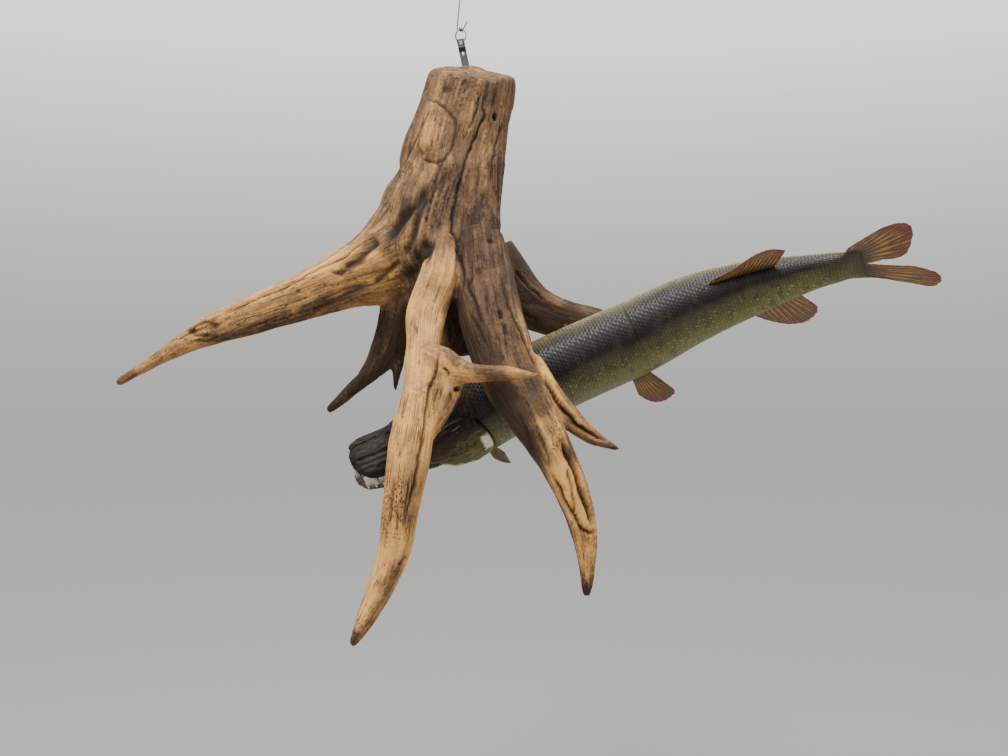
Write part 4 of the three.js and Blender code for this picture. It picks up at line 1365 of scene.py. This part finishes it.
def finObject(name, fin, seed):
    loops, marks = finShell(fin, seed)
    count, sides = loops.shape[:2]
    straight = np.vstack([loops.reshape(-1, 3), loops[0].mean(0), loops[-1].mean(0)])
    obj = makeObject(name, bend(straight), tubeFaces(count, sides))
    makeSolid(obj)
    store(obj, "ray", np.vstack([marks.reshape(-1, 3), marks[0].mean(0), marks[-1].mean(0)]))
    store(obj, "olive", np.full(len(straight), fin.get("olive", 0.0)))
    return obj


def buildFins():
    paint = finMaterial()
    made = [finObject(name + "_shown", fin, seed) for seed, (name, fin) in enumerate(fins.items())]
    lobes = [finObject("caudal_lobe", lobe, 7 + k) for k, lobe in enumerate(tailLobes)]
    made.append(joinObjects("caudal_fin_shown", lobes))
    for obj in made:
        dress(obj, paint)
        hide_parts(obj.name.replace("_shown", ""))
        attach(obj, "root")
    print("fins:", len(made))


finLook = {
    "web": (0.48, 0.25, 0.038),
    "webRed": (0.30, 0.085, 0.020),
    "ray": (0.045, 0.018, 0.009),
    "base": (0.050, 0.035, 0.020),
    "margin": (0.20, 0.017, 0.010),
    "blotch": (0.10, 0.035, 0.014),
    "olive": (0.21, 0.135, 0.022),
    "oliveTip": (0.075, 0.065, 0.055),
}


def finMaterial():
    look = finLook
    shader = Shader("pike_fins")
    _, reach, ridge = shader.apart(shader.attribute("ray", "Vector"))
    place = shader.objectPlace()
    cloud = shader.noise(place, 60, 3, 0.6)
    fine = shader.noise(place, 260, 3, 0.6)
    color = shader.mix(shader.pick(cloud, 0.35, 0.7), look["web"], look["webRed"])
    color = shader.mix(shader.times(shader.pick(ridge, 0.25, 0.7), 0.85), color, look["ray"])
    blotches = shader.times(shader.pick(fine, 0.55, 0.68), shader.pick(reach, 0.15, 0.4))
    color = shader.mix(shader.times(blotches, 0.6), color, look["blotch"])
    edge = shader.pick(shader.plus(reach, shader.times(cloud, 0.35)), 0.92, 1.20)
    color = shader.mix(shader.times(edge, 0.75), color, look["margin"])
    fade = shader.pick(shader.plus(reach, shader.times(cloud, 0.3)), 0.66, 0.24)
    color = shader.mix(fade, color, look["base"])
    olive = shader.mix(shader.times(shader.pick(ridge, 0.2, 0.8), 0.5), look["olive"], look["ray"])
    olive = shader.mix(shader.pick(reach, 0.72, 0.95), olive, look["oliveTip"])
    color = shader.mix(shader.attribute("olive"), color, olive)
    return shader.finish(color, 0.40, None, Coat_Weight=0.25, Coat_Roughness=0.2)


# Eyes, tongue and teeth.


def ballIn(centre, sizes, segments=32, rings=20):
    across = np.linspace(0, 2 * math.pi, segments, endpoint=False)
    along = np.linspace(0, math.pi, rings + 1)[1:-1]
    grid = np.stack([
        np.cos(along)[:, None] + 0 * across,
        np.sin(along)[:, None] * np.cos(across),
        np.sin(along)[:, None] * np.sin(across),
    ], 2)
    unit = np.vstack([grid.reshape(-1, 3), [1, 0, 0], [-1, 0, 0]])
    return unit, unit * sizes + centre, tubeFaces(len(along), segments)


def buildEyes():
    glass = eyeMaterial()
    for name, sign in (("left_eye", 1), ("right_eye", -1)):
        centre = np.array(pike["eyePlace"]) * [1, sign, 1]
        unit, straight, faces = ballIn(centre, pike["eyeRadius"])
        obj = makeObject(name + "_shown", bend(straight), faces)
        makeSolid(obj)
        outward = np.array([-0.10, sign, 0.22])
        store(obj, "gaze", unit @ (outward / np.linalg.norm(outward)))
        store(obj, "iris", unit)
        dress(obj, glass)
        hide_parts(name)
        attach(obj, "root")
    print("eyes done")


def eyeMaterial():
    shader = Shader("eye_glass")
    gaze = shader.attribute("gaze")
    flecks = shader.noise(shader.attribute("iris", "Vector"), 9, 4, 0.7)
    iris = shader.mix(flecks, (0.55, 0.38, 0.07), (0.16, 0.10, 0.03))
    color = shader.mix(shader.pick(gaze, 0.60, 0.54), iris, (0.05, 0.04, 0.02))
    color = shader.mix(shader.pick(gaze, 0.885, 0.905), color, (0.003, 0.003, 0.003))
    return shader.finish(color, 0.18, None, Coat_Weight=1.0, Coat_Roughness=0.02)


def buildTongue():
    _, shut, faces = ballIn(pike["tonguePlace"], pike["tongueSize"])
    straight = turnAbout(shut, pike["hinge"], pike["jawOpen"])
    obj = makeObject("tongue_shown", bend(straight), faces)
    makeSolid(obj)
    shader = Shader("mouth_skin")
    fine = shader.noise(shader.objectPlace(), 300, 3)
    color = shader.mix(fine, (0.46, 0.36, 0.32), (0.60, 0.50, 0.45))
    dress(obj, shader.finish(color, 0.35, None, Coat_Weight=0.4))
    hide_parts("tongue")
    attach(obj, "root")
    print("tongue done")


# A row on each side of each jaw: how many teeth, where they start, how far apart and how far in
# from the lip, then the first one's height, what each next one loses, and the radius at the gum.
teeth = {
    "lower": {
        "count": 7, "start": 12, "pitch": 10, "inset": 2.6, "height": 9.5, "loss": 0.5, "radius": 1.5,
    },
    "upper": {
        "count": 11, "start": 7, "pitch": 8, "inset": 3.2, "height": -6.0, "loss": 0, "radius": 1.0,
    },
    "sunk": 1.5,
    "rings": 5,
    "sides": 8,
    "lean": 1.6,
    "tipLean": 1.7,
}


def toothPoints(place, height, radius):
    rings, sides = teeth["rings"], teeth["sides"]
    points = []
    for ring in range(rings):
        share = ring / rings
        wide = radius * (1 - share)
        for side in range(sides):
            angle = side / sides * 2 * math.pi
            leaning = wide * math.cos(angle) + teeth["lean"] * share * share
            points.append(place + [leaning, wide * math.sin(angle), height * share])
    return [*points, place, place + [teeth["tipLean"], 0, height]]


def buildTeeth():
    points, faces = [], []
    for jaw, shape in (("lower", jawShape), ("upper", bodyShape)):
        row = teeth[jaw]
        for k in range(row["count"]):
            s = row["start"] + k * row["pitch"]
            halfWidth, top, bottom = shape(s)[0]
            level = top - teeth["sunk"] if jaw == "lower" else (top + bottom) / 2
            for sign in (1, -1):
                place = np.array([s, sign * (halfWidth - row["inset"]), level])
                made = toothPoints(place, row["height"] - row["loss"] * k, row["radius"])
                if jaw == "lower":
                    made = turnAbout(np.array(made), pike["hinge"], pike["jawOpen"])
                for face in tubeFaces(teeth["rings"], teeth["sides"]):
                    faces.append(tuple(len(points) + v for v in face))
                points.extend(made)
    obj = makeObject("teeth", bend(np.array(points)), faces)
    makeSolid(obj)
    dress(obj, Shader("tooth").finish((0.75, 0.68, 0.52), 0.3, None, Coat_Weight=0.3))
    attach(obj, "root")
    print("teeth done")


# The hanger, its screws, and the wire.

hanger = {
    "wireRadius": 0.9,
    "crank": 5,
    "thickness": 2.5,
    "ringHeight": 22,
    "cordStart": 41.6,
    "cordEnd": 94,
    "edge": 0.35,
    "coilTurns": 2,
    "coilSteps": 8,
    "coilPitch": 2.4,
    "coilRadius": 2.4,
    "coilStart": -7,
    "coilLevel": 40.3,
}


def tubeAlong(name, route, radius, count, sides=12):
    ts = np.linspace(0, 1, count)
    line = curveThrough(route, ts)
    along = np.gradient(line, axis=0)
    along /= np.linalg.norm(along, axis=1)[:, None]
    side = np.cross(along[0], [0.31, 0.87, 0.11])
    rings = []
    for middle, ahead in zip(line, along):
        side = side - ahead * (side @ ahead)
        side /= np.linalg.norm(side)
        other = np.cross(ahead, side)
        angle = np.linspace(0, 2 * math.pi, sides, endpoint=False)[:, None]
        rings.append(middle + radius * (side * np.cos(angle) + other * np.sin(angle)))
    return closedTube(name, np.array(rings) * mm, line[0] * mm, line[-1] * mm), line


# Cloudy wear and a little rust, shared by both steels.
def wearGroup():
    if "steelWear" in bpy.data.node_groups:
        return bpy.data.node_groups["steelWear"]
    inputs = {"Bright": "Color", "Dull": "Color"}
    shader = newGroup("steelWear", inputs, {"Color": "Color", "Height": "Float"})
    steel = shader.node("NodeGroupInput")
    place = shader.objectPlace()
    cloud = shader.noise(place, 160, 4, 0.6)
    rust = shader.pick(shader.noise(place, 300, 4, 0.7), 0.58, 0.72)
    color = shader.mix(cloud, steel.outputs["Bright"], steel.outputs["Dull"])
    color = shader.mix(shader.times(rust, 0.5), color, (0.10, 0.045, 0.02))
    shader.node("NodeGroupOutput", {"Color": color, "Height": cloud})
    return shader.tree


def steelMaterial(name, base, roughness):
    shader = Shader(name)
    tints = {"Bright": base, "Dull": tuple(c * 0.55 for c in base)}
    wear = shader.node("ShaderNodeGroup", tints, node_tree=wearGroup())
    normal = shader.bump(wear.outputs["Height"], 0.3, 0.0004)
    return shader.finish(wear.outputs["Color"], roughness, normal, Metallic=0.85)


def buildHanger():
    dark = steelMaterial("hanger_steel", (0.11, 0.105, 0.10), 0.42)
    for name in ("hanger_strap", "hanger_screw_1", "hanger_screw_2", "fish_screw"):
        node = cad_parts[name]
        piece = bpy.data.objects.new(name + "_shown", node.data.copy())
        bpy.context.collection.objects.link(piece)
        piece.data.materials.clear()
        piece.data.materials.append(dark)
        applyModifier(piece, "WELD", merge_threshold=0.01 * mm)
        applyModifier(
            piece, "BEVEL", width=hanger["edge"] * mm, segments=2, limit_method="ANGLE",
            angle_limit=math.radians(40),
        )
        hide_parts(name)
        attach(piece, "root")

    wire = steelMaterial("wire_steel", (0.16, 0.13, 0.105), 0.38)
    y = -hanger["crank"] - hanger["thickness"] / 2
    level = hanger["ringHeight"]
    ring = [
        [-4.9, y + 0.4, level - 1], [-6.4, y + 3.5, 22], [-10.8, y + 4, 26], [-12.2, y + 2, 33],
        [-9.6, y + 0.5, 39], [-4.4, y - 0.5, 40.5], [0.6, y - 1.5, 38], [3.4, y - 3.5, 31],
        [1.4, y - 4.2, 24], [-2.8, y - 3.5, 21], [-4.3, y - 0.4, level - 1],
    ]
    loop, _ = tubeAlong("wire_loop_shown", ring, hanger["wireRadius"], 90)
    steps, around = hanger["coilSteps"], hanger["coilRadius"]
    coil = []
    for i in range(hanger["coilTurns"] * steps + 1):
        angle = i / steps * 2 * math.pi
        x = hanger["coilStart"] + i / steps * hanger["coilPitch"]
        height = hanger["coilLevel"] + around * math.sin(angle)
        coil.append([x, y - 0.5 + around * math.cos(angle), height])
    coil += [[-0.4, y + 1.6, 43], [1.8, y + 1, 47], [4.4, y + 1, 53]]
    knot, _ = tubeAlong("wire_knot_shown", coil, hanger["wireRadius"], 110)
    route = [
        [-10, y + 0.5, hanger["cordStart"]], [-9.2, y + 0.5, 52], [-7.8, y, 68], [-5.7, y, 84],
        [-4.6, y, hanger["cordEnd"]],
    ]
    cord, line = tubeAlong("hanging_wire_shown", route, hanger["wireRadius"], 40)
    for obj, node in ((loop, "wire_loop"), (knot, "wire_knot"), (cord, "hanging_wire")):
        dress(obj, wire)
        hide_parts(node)
        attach(obj, "root")
    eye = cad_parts["wire_eye"]
    eye.data.materials.clear()
    eye.data.materials.append(wire)


# Camera, floor and light.

studio = {
    "eye": (0.060, -1.680, -0.480),
    "lens": 40,
    "sensor": 36,
    "floorLevel": -1.25,
    "floorReach": 30,
    "floor": 0.28,
    "sky": [(0.0, 0.22), (0.5, 0.55), (0.55, 0.70), (0.60, 1.02), (0.68, 1.60), (1.0, 2.1)],
    "skyColor": (1.0, 0.995, 0.98, 1),
    "lamps": [
        ("key", (-0.6, -1.4, 1.35), (0, -0.15, -0.40), 0.7, 30),
        ("top", (0.1, -0.5, 1.8), (0.1, -0.15, -0.4), 1.0, 36),
    ],
}


def buildStudio():
    camera = bpy.data.cameras.new("camera")
    camera.lens = studio["lens"]
    camera.sensor_width = studio["sensor"]
    holder = bpy.data.objects.new("camera", camera)
    bpy.context.collection.objects.link(holder)
    holder.location = studio["eye"]
    holder.rotation_euler = (math.radians(90), 0, 0)
    bpy.context.scene.camera = holder

    reach, level = studio["floorReach"], studio["floorLevel"]
    corners = [
        (-reach, -reach, level), (reach, -reach, level), (reach, reach, level), (-reach, reach, level),
    ]
    floor = makeObject("floor", corners, [(0, 1, 2, 3)])
    shader = Shader("floor")
    paint = shader.finish((studio["floor"],) * 3, 0.95, None, Specular_IOR_Level=0.0)
    floor.data.materials.append(paint)

    world = bpy.data.worlds.new("studio")
    world.use_nodes = True
    sky = Shader("sky", world.node_tree)
    _, _, upward = sky.apart(sky.node("ShaderNodeTexCoord").outputs["Generated"])
    height = sky.plus(sky.times(upward, 0.5), 0.5)
    glow = sky.node("ShaderNodeFloatCurve")
    curve = glow.mapping.curves[0]
    curve.points[0].location = studio["sky"][0]
    curve.points[1].location = studio["sky"][-1]
    for place in studio["sky"][1:-1]:
        curve.points.new(*place)
    glow.mapping.use_clip = False
    glow.mapping.update()
    sky.link(height, glow.inputs["Value"])
    backdrop = world.node_tree.nodes["Background"]
    sky.link(glow.outputs[0], backdrop.inputs["Strength"])
    backdrop.inputs["Color"].default_value = studio["skyColor"]
    bpy.context.scene.world = world

    for name, place, aim, size, power in studio["lamps"]:
        light = bpy.data.lights.new(name, "AREA")
        light.size = size
        light.energy = power
        lamp = bpy.data.objects.new(name, light)
        bpy.context.collection.objects.link(lamp)
        lamp.location = place
        direction = Vector(aim) - Vector(place)
        lamp.rotation_euler = direction.to_track_quat("-Z", "Y").to_euler()


buildStudio()
print("studio done")
buildWood()
buildSkin()
buildScales("scales_front", 140, 420)
buildScales("scales_rear", 420, 734)
buildFins()
buildEyes()
buildTongue()
buildTeeth()
buildHanger()
